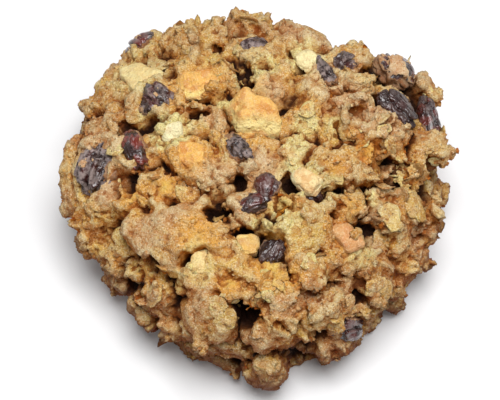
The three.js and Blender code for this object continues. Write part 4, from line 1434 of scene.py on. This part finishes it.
def dough_finish():
    """Crust, named spots, brown steep faces partly as painted shade, speckle, painted shade in pits and
    gaps, and last the underside.
    """
    f = Finish("baked_dough")
    hollow = f.measure("hollow")
    gap = f.measure("gap")
    depth = f.measure("depth")
    broad = f.speckle(11, 3)
    patch = f.speckle(3.6, 4, 0.6)
    warm = (f.measure("tint") * 0.5 + broad * 0.8 - 0.15).clamped()
    colour = f.mix(warm.rising(0.1, 0.5), YELLOW, GOLDEN)
    rosy = (warm.rising(0.5, 0.95) + f.measure("rosy").rising(0.1, 0.8)).clamped()
    colour = f.mix(rosy * 0.85, colour, ROSY)
    colour = f.mix(patch.rising(0.55, 0.95) * 0.5, colour, RIDGE)
    colour = f.mix(patch.rising(0.4, 0.05) * 0.4, colour, YELLOW)
    # painted highlight: proud tops are paler; painted shade: hollows are toffee brown
    colour = f.mix((0 - hollow).rising(0.1, 1.0) * (0.8 - 0.6 * patch), colour, PALE_AND_HIGHLIGHT)
    colour = f.mix((hollow + patch * 0.4).rising(0.1, 1.2) * 0.6, colour, TOFFEE_SHADE)
    colour = f.mix(f.measure("toast").rising(0.1, 0.5) * (0.85 + 0.15 * patch), colour, ORANGE)
    colour = f.mix(f.measure("toast").rising(0.7, 1.0) * (0.9 - 0.9 * patch), colour, GLOW)
    colour = f.mix(f.measure("cream").rising(0.2, 0.7) * (1.3 - 0.7 * patch), colour, CREAM)
    colour = f.mix(f.measure("dusty").rising(0.2, 1.0) * (0.9 - 0.5 * patch), colour, DUSTY)
    # purple-grey tint, in part painted shade
    colour = f.mix(f.measure("purple_and_shade").rising(0.2, 1.0) * 0.6, colour, PURPLE)
    # steep low faces are browner, partly from baking and partly as painted shade
    brown_and_shade = (f.measure("steep") + patch * 0.3).rising(0.35, 1.05) * (0.25 + 0.6 * f.measure("low"))
    # the named spots of painted shade are darkened here too
    colour = f.mix((brown_and_shade + f.measure("painted_shade_spots") * (0.6 - 0.5 * patch)).clamped(), colour, CRUST)
    colour, relief = speckled(f, colour, 1 - f.measure("toast").rising(0.3, 1.0) * 0.6)
    # browner low on the side wall, partly from baking and partly as painted shade
    colour = f.mix(f.measure("wall") * (0.65 + 0.35 * broad), colour, WALL_BROWN_AND_SHADE)
    # painted shade in small pits
    colour = f.mix(f.measure("pit").rising(0.3, 1.3) * 0.5, colour, PORE_AND_SHADE)
    # painted shade: gaps, steep faces, hollows and pits are dimmed towards a warm brown by a multiply
    painted_dimming = (gap * 0.7 + f.measure("steep") * 0.8 + hollow * 0.15 + f.measure("pit") * 0.15 - 0.35).clamped()
    colour = f.mix(painted_dimming, colour, PAINTED_SHADE_TINT, "MULTIPLY")
    # painted shade in the gaps, and painted shadow in the deepest of them
    colour = f.mix((gap + depth * 0.3).rising(0.55, 1.15) * 0.85, colour, SHADE)
    colour = f.mix((gap + depth * 0.5).rising(0.95, 1.5), colour, PAINTED_SHADOW_BLACK)
    underside, _ = speckled(f, f.mix(patch, BASE, CRUST), 0.6)
    colour = f.mix(f.measure("base"), colour, underside)
    return f.surface(
        Base_Color=colour,
        Roughness=0.5 + 0.3 * patch,
        Normal=f.bump(relief, 0.24, 1.0),
        Specular_IOR_Level=0.2,
    )


dough_material = dough_finish()
dough_piece.data.materials.append(dough_material)
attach(dough_piece, "root")
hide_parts("dough")
print("dough:", len(dough_piece.data.polygons), "faces")
print("nodes in its finish:", len(dough_material.node_tree.nodes))

# %% [markdown]
# ## Bare oat flakes
# Some oats lie bare on top and curl up at their edges, most of all at the right and along the back. A
# particle system could strew them, but it would need a flake object of its own and give each copy the
# same bend. They are small and many, so each has only a few dozen faces and they are all one mesh. They
# take the dough's finish, because a film of dough baked on to them, but each has a paleness of its own.

# %% Places of the bare flakes
BARE_FLAKES = 260
BARE_LEAN = 0.32
BARE_SINK = (0.1, 0.9)
BARE_SIZE = (0.4, 0.85)
WHOLE_LEAN = 0.15
WHOLE_SINK = 0.2
# the oats that show whole: right, up, size and turn in degrees
WHOLE_OATS = (
    (41.8, -1.5, 1.1, 75), (34.1, -10.5, 1.05, 50), (43.0, -8.0, 0.9, 80), (24.6, -27.2, 0.85, 20),
    (32.8, -23.3, 0.8, 60), (-7.7, -25.9, 0.8, 30), (-5.1, -29.0, 0.8, 70), (-8.5, -26.0, 0.5, 0),
    (6.0, -23.4, 0.85, 10), (-35.0, 12.0, 0.7, 80), (-24.0, 36.0, 0.9, 40), (28.0, 2.0, 0.9, 30),
    (34.0, -4.0, 1.0, 20), (-18.5, 2.3, 0.6, 20),
)


def nearest_to(points, wanted):
    """Number of the outermost point of the dough under each wanted place of the mound."""
    outwards = unit(mound_slope(wanted))
    offset = points[None] - wanted[:, None]
    rise = np.einsum("ijk,ik->ij", offset, outwards)
    aside = np.sum(offset**2, axis=-1) - rise**2
    return np.argmax(np.where(aside < 1.0, rise, -HIGH_ABOVE), axis=1)


where, facing, nearest = strewn_on(dough, dough_quads, BARE_FLAKES, rng, flaky_weight)
whole = np.array(WHOLE_OATS)
spot = nearest_to(dough, seen_point(whole[:, 0], whole[:, 1]))
lean = rng.normal(0, BARE_LEAN, (BARE_FLAKES, 3))
lean = np.concatenate([lean, rng.normal(0, WHOLE_LEAN, (len(spot), 3))])
sink = np.concatenate([rng.uniform(*BARE_SINK, BARE_FLAKES), np.full(len(spot), WHOLE_SINK)])
size = np.concatenate([rng.uniform(*BARE_SIZE, BARE_FLAKES), whole[:, 2]])
turn = np.concatenate([rng.random(BARE_FLAKES) * TAU, np.radians(whole[:, 3])])
where = np.concatenate([where, dough[spot]])
facing = np.concatenate([facing, unit(mound_slope(dough[spot]))])
nearest = np.concatenate([nearest, spot])
print("bare flakes:", BARE_FLAKES, "strewn and", len(spot), "placed by hand")

# %% Bare flakes
BARE_THICKNESS = 0.6
LEAST_HEIGHT = 0.2
PALEST = 0.6
# caps on the painted shade of gaps and steep faces that a bare flake takes from the dough under it
GAP_LIMIT = 0.3
STEEP_LIMIT = 0.35
# below 0 takes the pale painted highlight and above 0 the toffee painted shade: the two middles, and then
# the rings from the top to the underside
HOLLOW_MIDDLES = (-0.3, -0.5)
HOLLOW_RINGS = (-0.1, -0.4, 0.3, -0.2)

flake_total = len(nearest)
frames = leaning_frame(facing, lean, turn)
phase = rng.random(flake_total) * TAU
bare = held_in(flake_shells(where - facing * sink[:, None], *frames, size, BARE_THICKNESS, phase))
bare[:, 2] = np.maximum(LEAST_HEIGHT, bare[:, 2])
flake_piece = mesh_object("oat_flakes", bare, *many_balls(flake_total, *FLAKE_GRID))
taken = {name: value[nearest] for name, value in measured.items()}
taken["cream"] = np.maximum(taken["cream"], rng.uniform(0, PALEST, flake_total))
taken["tint"] = rng.random(flake_total)
# a flake stands out of the gap, so it takes less painted shade
taken["gap"] = np.minimum(taken["gap"], GAP_LIMIT)
taken["steep"] = np.minimum(taken["steep"], STEEP_LIMIT)
taken = {name: np.repeat(value, ball_size(*FLAKE_GRID)) for name, value in taken.items()}
pattern = np.concatenate([HOLLOW_MIDDLES, np.repeat(HOLLOW_RINGS, FLAKE_COLUMNS)])
taken["hollow"] = np.tile(pattern, flake_total)
store(flake_piece, **taken)
flake_piece.data.materials.append(dough_material)
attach(flake_piece, "root")
print("bare flakes:", len(flake_piece.data.polygons), "faces")

# %% [markdown]
# ## Dried cranberries
# A dried cranberry is a collapsed, wrinkled bag: glossy and nearly black, red where the skin is thin,
# grey where dust clings to it, and pale where dough does. Cloth that loses its air would fold as well,
# but where the folds fall would be left to chance. So each one is a ball with a few deep folds and many
# fine wrinkles that run along it: noise is stretched that way, and a fold lies where it passes through 0.

# %% Fruit shapes
FRUIT_ROWS = 62
FRUIT_COLUMNS = 96
FRUIT_SCALE = 0.94
FOLD_WIDTH = 0.16
WRINKLE_WIDTH = 0.2
FRUIT_STRETCH = 0.45
FRUIT_TWIST = 0.9
FRUIT_RADIUS = 1.03
DENT_DEPTH = 0.34
FOLD_DEPTH = 0.26
WRINKLE_DEPTH = 0.1


def placed(local, places, i):
    """Local points (across, along, outwards) at place i, half the thickness below its crown."""
    frame_of = np.stack([places.across[i], places.along[i], places.outwards[i]])
    return held_in(body_centre(places)[i] + local @ frame_of)


def wrinkled_ball(half, seed):
    """Ball with radius 1 less folds where layered noise, stretched along the fruit, passes through 0."""
    ball = ball_directions(FRUIT_ROWS, FRUIT_COLUMNS)
    longest = int(np.argmax(half[:2]))
    stretch = np.ones(3)
    stretch[longest] = FRUIT_STRETCH
    folded = ball * half * stretch
    warped = folded + FRUIT_TWIST * three_ripples(folded, 6.0, (seed, seed + 2, seed + 4))
    fold = np.exp(-((layered(warped, size=4.2, octaves=2, seed=100 + seed) / FOLD_WIDTH) ** 2))
    wrinkle = np.exp(-((layered(warped, size=1.9, octaves=2, seed=200 + seed) / WRINKLE_WIDTH) ** 2))
    dent = layered(ball * half, size=6.5, octaves=2, seed=300 + seed)
    radius = FRUIT_RADIUS + DENT_DEPTH * dent - FOLD_DEPTH * fold - WRINKLE_DEPTH * wrinkle
    return ball * half * radius[:, None], fold


# %% Dough that clings
FILM_THICKNESS = 0.5
FILM_UNEVEN = 0.35


def cling(local, half, amount, seed):
    """Where dough sticks to a piece: in patches, and more of it low on the sides. 0 to 1."""
    low = ease_between(0.5, -0.1, local[:, 2] / half[2])
    patchy = layered(local, size=3.4, octaves=3, seed=600 + seed)
    return ease_between(0.0, 0.16, 0.95 * amount + 0.5 * low + 0.8 * patchy - 0.85)


def clung(local, film, seed):
    """Points moved out from the middle by an uneven layer of dough, about half a millimetre thick."""
    uneven = FILM_UNEVEN * layered(local, size=1.6, octaves=2, seed=700 + seed)
    thick = film * (FILM_THICKNESS + uneven)
    return local + unit(local) * thick[:, None]


# %% How each fruit looks
# bloom of grey dust, dough stuck to the skin, and how much red thin skin shows
FRUIT_LOOK = {
    "top_right_corner": (0.15, 0.74, 0.5),
    "top_right_long": (0.15, 0.25, 0.1),
    "right_edge": (0.2, 0.2, 0.5),
    "back_left": (0.35, 0.75, 0.6),
    "back_middle": (0.7, 0.15, 0.1),
    "back_right": (0.5, 0.45, 0.2),
    "upper_left": (0.7, 0.6, 0.3),
    "upper_right_streak": (1.2, 0.6, 0.0),
    "middle_dusty": (1.4, 0.62, 0.0),
    "centre_upper": (0.3, 0.25, 0.3),
    "centre_lower": (0.25, 0.25, 0.4),
    "left_big": (1.1, 0.74, 0.2),
    "left_crescent": (0.15, 0.45, 0.8),
    "lower_middle": (0.4, 0.3, 0.1),
    "lower_right": (0.3, 0.7, 0.3),
    "middle_crack": (0.1, 0.0, 0.1),
}
FRUIT_SKIN = linear(40, 16, 14)
FRUIT_RED = linear(124, 38, 24)
FRUIT_BLOOM = linear(156, 138, 132)
# painted shade in the folds
FRUIT_FOLD_SHADE = linear(24, 10, 10)
print("looks for", len(FRUIT_LOOK), "fruit")

# %% Fruit material


def fruit_finish():
    """Dark skin, red where thin, then grey bloom, painted shade in the folds, and a film of speckled dough
    with painted shade low on it.
    """
    f = Finish("dried_cranberry")
    fold = f.measure("fold")
    patch = f.speckle(3.0, 3)
    fine = f.speckle(0.6, 2)
    grain, pick = f.cells(0.9)
    colour = f.mix(f.measure("red") * patch.rising(0.3, 0.8), FRUIT_SKIN, FRUIT_RED)
    dusty = f.speckle(1.8, 4, 0.7).rising(0.25, 0.9)
    bloom = (f.measure("bloom") * dusty * 1.7 * (0.5 + 0.7 * pick)).clamped()
    colour = f.mix(bloom * 0.8, colour, FRUIT_BLOOM)
    # painted shade in the folds
    colour = f.mix(fold * 0.5, colour, FRUIT_FOLD_SHADE)
    film = (f.measure("film") + fine * 0.5 - 0.25).rising(0.2, 0.6)
    crust, _ = speckled(f, f.mix(patch, DUSTY, ROSY))
    # painted shade: the dough on the fruit is darkened, most of all low on its sides
    crust = f.mix(f.measure("low") * 0.5 + 0.25, crust, SHADE)
    colour = f.mix(film, colour, crust)
    return f.surface(
        Base_Color=colour,
        Roughness=(0.22 + 0.5 * bloom + 0.5 * film).clamped(),
        Coat_Weight=(0.6 - 0.6 * film - 0.5 * bloom).clamped(),
        Coat_Roughness=0.12,
        Normal=f.bump(fine * 0.5 + (1 - grain) * 0.8 + film, 0.3, 0.8),
    )


# %% The cranberries
fruit_material = fruit_finish()
ball_quads, ball_caps = ball_faces(FRUIT_ROWS, FRUIT_COLUMNS)
for i, name in enumerate(fruit.names):
    half = FRUIT_SCALE * np.array([fruit.half_across[i], fruit.half_along[i], fruit.deep[i] / 2])
    local, fold = wrinkled_ball(half, i)
    bloom, dough_on_it, red = FRUIT_LOOK[name]
    film = cling(local, half, dough_on_it, i)
    skin = placed(clung(local, film, i), fruit, i)
    piece = mesh_object("cranberry_skin_" + name, skin, ball_quads, ball_caps)
    # how low on the fruit a point is, which sets the film's painted shade
    low = ease_between(0.75, 0.15, local[:, 2] / half[2])
    store(piece, fold=fold * (1 - film), bloom=bloom, film=film, red=red, low=low)
    piece.data.materials.append(fruit_material)
    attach(piece, "root")
    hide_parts("cranberry_" + name)
print("cranberries:", len(fruit.names), "of", len(ball_quads) * 2 + len(ball_caps), "triangles each")

# %% [markdown]
# ## Pale chips
# The chips started as blocks and slumped in the oven: boxy with soft corners, cream at the sides, and
# toasted orange where the heat reached the crown. A cube with a Bevel modifier would make them all alike.
# Here each is what some planes round a middle leave, at their own tilts and distances, with the edges
# melted round.

# %% Chip shapes
CHIP_ROWS = 46
CHIP_COLUMNS = 72
CHIP_SCALE = 0.86
CHIP_PLANES = 9
CHIP_EDGE = 6
CHIP_REACH = (0.75, 1.0)
CHIP_DENT = 0.3
CHIP_BROKEN = 0.08


def slumped_block(half, seed):
    """Convex block: the reach in each direction is a soft least of the reaches to 15 planes."""
    ball = ball_directions(CHIP_ROWS, CHIP_COLUMNS)
    draw = np.random.default_rng(40 + seed)
    planes = unit(np.concatenate([draw.normal(size=(CHIP_PLANES, 3)), np.eye(3), -np.eye(3)]))
    reach = np.concatenate([draw.uniform(*CHIP_REACH, CHIP_PLANES), np.ones(6)])
    facing = np.maximum(0, ball @ planes.T) / reach
    block = ball * half / ((facing**CHIP_EDGE).sum(axis=1) ** (1 / CHIP_EDGE))[:, None]
    dent = layered(block, size=4.5, octaves=2, seed=400 + seed)
    broken = facets(block, size=2.6, seed=500 + seed)
    return block * (1 + CHIP_DENT * dent + CHIP_BROKEN * broken)[:, None]


# %% Chip material
CHIP_CREAM = linear(238, 212, 118)
CHIP_WHITE = linear(242, 236, 188)
CHIP_TOAST = linear(232, 170, 76)
CHIP_SPOT = linear(206, 132, 54)
CHIP_PLATE = linear(204, 140, 92)


def chip_finish():
    """Cream or white sides, a toasted crown with darker spots, and a film of speckled dough."""
    f = Finish("baked_chip")
    patch = f.speckle(2.4, 3)
    fine = f.speckle(0.6, 2)
    colour = f.mix(f.measure("white"), CHIP_CREAM, CHIP_WHITE)
    crown = f.measure("crown") + 0.7 * f.speckle(5, 3) - 0.35
    toast = (f.measure("toast") * crown.rising(0.3, 1.0)).clamped()
    colour = f.mix(toast * (0.65 + 0.35 * fine), colour, CHIP_TOAST)
    colour = f.mix(toast * patch.rising(0.4, 0.8) * 0.8, colour, CHIP_SPOT)
    colour = f.mix(f.measure("plate") * 0.8, colour, CHIP_PLATE)
    film = (f.measure("film") + fine * 0.5 - 0.25).rising(0.1, 0.8)
    crust = f.mix(0.3, f.mix(patch, GOLDEN, ROSY), colour)
    colour, relief = speckled(f, f.mix(film, colour, crust), 0.45)
    return f.surface(
        Base_Color=colour,
        Roughness=0.38 + 0.3 * patch,
        Normal=f.bump(fine * 0.4 + relief * 0.6, 0.3, 0.7),
        Specular_IOR_Level=0.4,
    )


# %% The chips
CHIP_FILM = 0.6

chip_material = chip_finish()
block_quads, block_caps = ball_faces(CHIP_ROWS, CHIP_COLUMNS)
for i, name in enumerate(chips.names):
    half = CHIP_SCALE * np.array([chips.half_across[i], chips.half_along[i], chips.deep[i] / 2])
    local = slumped_block(half, i)
    toast, white, dough_on_it, sunk = CHIP_LOOK[name]
    film = cling(local, half, dough_on_it, 40 + i)
    skin = placed(clung(local, CHIP_FILM * film, i) - (0, 0, sunk), chips, i)
    piece = mesh_object("chip_block_" + name, skin, block_quads, block_caps)
    crown = ease_between(-0.2, 1.0, local[:, 2] / half[2])
    # the wedge shows one flat baked face, which has a colour of its own
    store(piece, toast=toast, white=white, crown=crown, film=film, plate=float(name == "wedge"))
    piece.data.materials.append(chip_material)
    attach(piece, "root")
    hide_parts("chip_" + name)
print("chips:", len(chips.names), "of", len(block_quads) * 2 + len(block_caps), "triangles each")

# %% [markdown]
# ## Crumbs
# Loose-looking nubs of dough cling all over the crust. A finer mesh of the dough could carry them, at
# many times its faces. Small rough balls, more than half sunk, do it with few, again as one mesh. Each
# takes the dough's finish and the measures of the spot that it clings to.

# %% Shapes and places of crumbs
CRUMBS = 4400
CRUMB_GRID = (3, 6)
CRUMB_SINK = 0.2
CRUMB_SIZE = (0.25, 0.8)
CRUMB_STRETCH = (0.6, 1.2)
CRUMB_HEIGHT = 0.1
CRUMB_ROUGHNESS = 0.45
CRUMB_FOOT = 1.0
CRUMB_SHALLOW = (-4.0, -1.5)
CRUMBS_ON_FRUIT = 0.3
CRUMBS_LEAST = 0.03


def crumb_shells(centre, size, seed):
    """Balls stretched along each axis by their own amounts, with a rough surface."""
    ball = ball_directions(*CRUMB_GRID)
    points = centre[:, None] + ball * size[:, None]
    swell = 1 + CRUMB_ROUGHNESS * noise(points, size=0.7, seed=seed)
    return (centre[:, None] + ball * size[:, None] * swell[..., None]).reshape(-1, 3)


def crumb_weight(p):
    """Many crumbs on rough shallow skin, few on fruit, chips and smooth lumps, none in deep gaps."""
    shallow = ease_between(*CRUMB_SHALLOW, height_over_mound(p))
    clear = CRUMBS_ON_FRUIT + (1 - CRUMBS_ON_FRUIT) * clear_of_inclusions(p)
    return (p[:, 2] > CRUMB_FOOT) * shallow * clear * (1 + CRUMBS_LEAST - near_spots(p, SMOOTH_AT))


where, facing, nearest = strewn_on(dough, dough_quads, CRUMBS, rng, crumb_weight)
crumb_size = rng.uniform(*CRUMB_SIZE, (CRUMBS, 1)) * rng.uniform(*CRUMB_STRETCH, (CRUMBS, 3))
print("crumbs are", (2 * crumb_size.min()).round(1), "to", (2 * crumb_size.max()).round(1), "mm across")

# %% Clinging crumbs
nubs = held_in(crumb_shells(where - CRUMB_SINK * facing, crumb_size, seed=81))
nubs[:, 2] = np.maximum(CRUMB_HEIGHT, nubs[:, 2])
crumb_piece = mesh_object("dough_crumbs", nubs, *many_balls(CRUMBS, *CRUMB_GRID))
each = ball_size(*CRUMB_GRID)
# the spot's measures, and with them its painted light and shade
store(crumb_piece, **{name: np.repeat(value[nearest], each) for name, value in measured.items()})
crumb_piece.data.materials.append(dough_material)
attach(crumb_piece, "root")
print("crumbs:", len(crumb_piece.data.polygons), "faces")

# %% [markdown]
# ## Floor, light and camera
# The cookie lies on a plain pale floor in a white room. The main lamp is large, so its shadows are soft,
# and it hangs almost overhead and a little in front. A weaker one fills in from the right. One strong sun
# would be simpler, but it would turn the gaps black. The camera looks from the front and above at the
# angle that shows a little of the front wall. Its lens is long, and its small shift puts the cookie where
# it belongs in the picture.

# %% Floor
FLOOR_HALF = 1.5
FLOOR_GREY = linear(232, 232, 232)

SHOWN = bpy.context.scene
SHOWN.view_settings.view_transform = "Standard"
floor_corners = [(x * FLOOR_HALF, y * FLOOR_HALF, 0) for x, y in ((-1, -1), (1, -1), (1, 1), (-1, 1))]
floor_mesh = bpy.data.meshes.new("floor")
floor_mesh.from_pydata(floor_corners, [], [(0, 1, 2, 3)])
floor = bpy.data.objects.new("floor", floor_mesh)
SHOWN.collection.objects.link(floor)
floor_mesh.materials.append(Finish("pale_floor").surface(Base_Color=FLOOR_GREY, Roughness=0.9))
print("floor:", 2 * FLOOR_HALF, "metres wide")

# %% Room and lamps
ROOM_LIGHT = 0.31
ROOM_WHITE = (1.0, 1.0, 1.0, 1.0)
LAMPS_AIM = Vector((0, 0, 0.02))

world = bpy.data.worlds.new("room")
SHOWN.world = world
world.use_nodes = True
room = world.node_tree.nodes["Background"].inputs
room["Color"].default_value = ROOM_WHITE
room["Strength"].default_value = ROOM_LIGHT


def soft_light(name, place, size, power, colour):
    """Square area light at a place in metres, turned to face the cookie."""
    lamp = bpy.data.lights.new(name, "AREA")
    lamp.shape = "SQUARE"
    lamp.size = size
    lamp.energy = power
    lamp.color = colour
    made = bpy.data.objects.new(name, lamp)
    made.location = place
    made.rotation_euler = (LAMPS_AIM - Vector(place)).to_track_quat("-Z", "Y").to_euler()
    SHOWN.collection.objects.link(made)
    print(name, "lamp:", power, "watts")


soft_light("key", place=(0.03, -0.04, 0.75), size=0.4, power=5.75, colour=(0.99, 0.99, 1.0))
soft_light("fill", place=(0.3, -0.1, 0.8), size=0.5, power=1.3, colour=(1.0, 1.0, 1.0))

# %% Camera
PICTURE = (500, 400)
COOKIE_AT = (252, 199)
PIXELS_PER_MM = 3.9
SENSOR = 36.0

camera_data = bpy.data.cameras.new("camera")
camera = bpy.data.objects.new("camera", camera_data)
SHOWN.collection.objects.link(camera)
SHOWN.camera = camera
camera_data.sensor_width = SENSOR
camera_data.lens = SENSOR * VIEW_DISTANCE * PIXELS_PER_MM / PICTURE[0]
camera_data.shift_x = (PICTURE[0] / 2 - COOKIE_AT[0]) / PICTURE[0]
camera_data.shift_y = (COOKIE_AT[1] - PICTURE[1] / 2) / PICTURE[0]
camera_data.clip_start = 0.01
camera.location = (VIEW_TARGET + MIDDLE + VIEW_TOWARDS * VIEW_DISTANCE) * MM
camera.rotation_euler = Vector(-VIEW_TOWARDS).to_track_quat("-Z", "Y").to_euler()
print("lens", round(camera_data.lens, 1), "mm")

# %% [markdown]
# ## Sizes and finish
# The dressed cookie has to fill the same box as the plain solids, so the solids' box is printed last.

# %% Finish
print("solids", [tuple(round(v / MM, 1) for v in c) for c in cad_box])
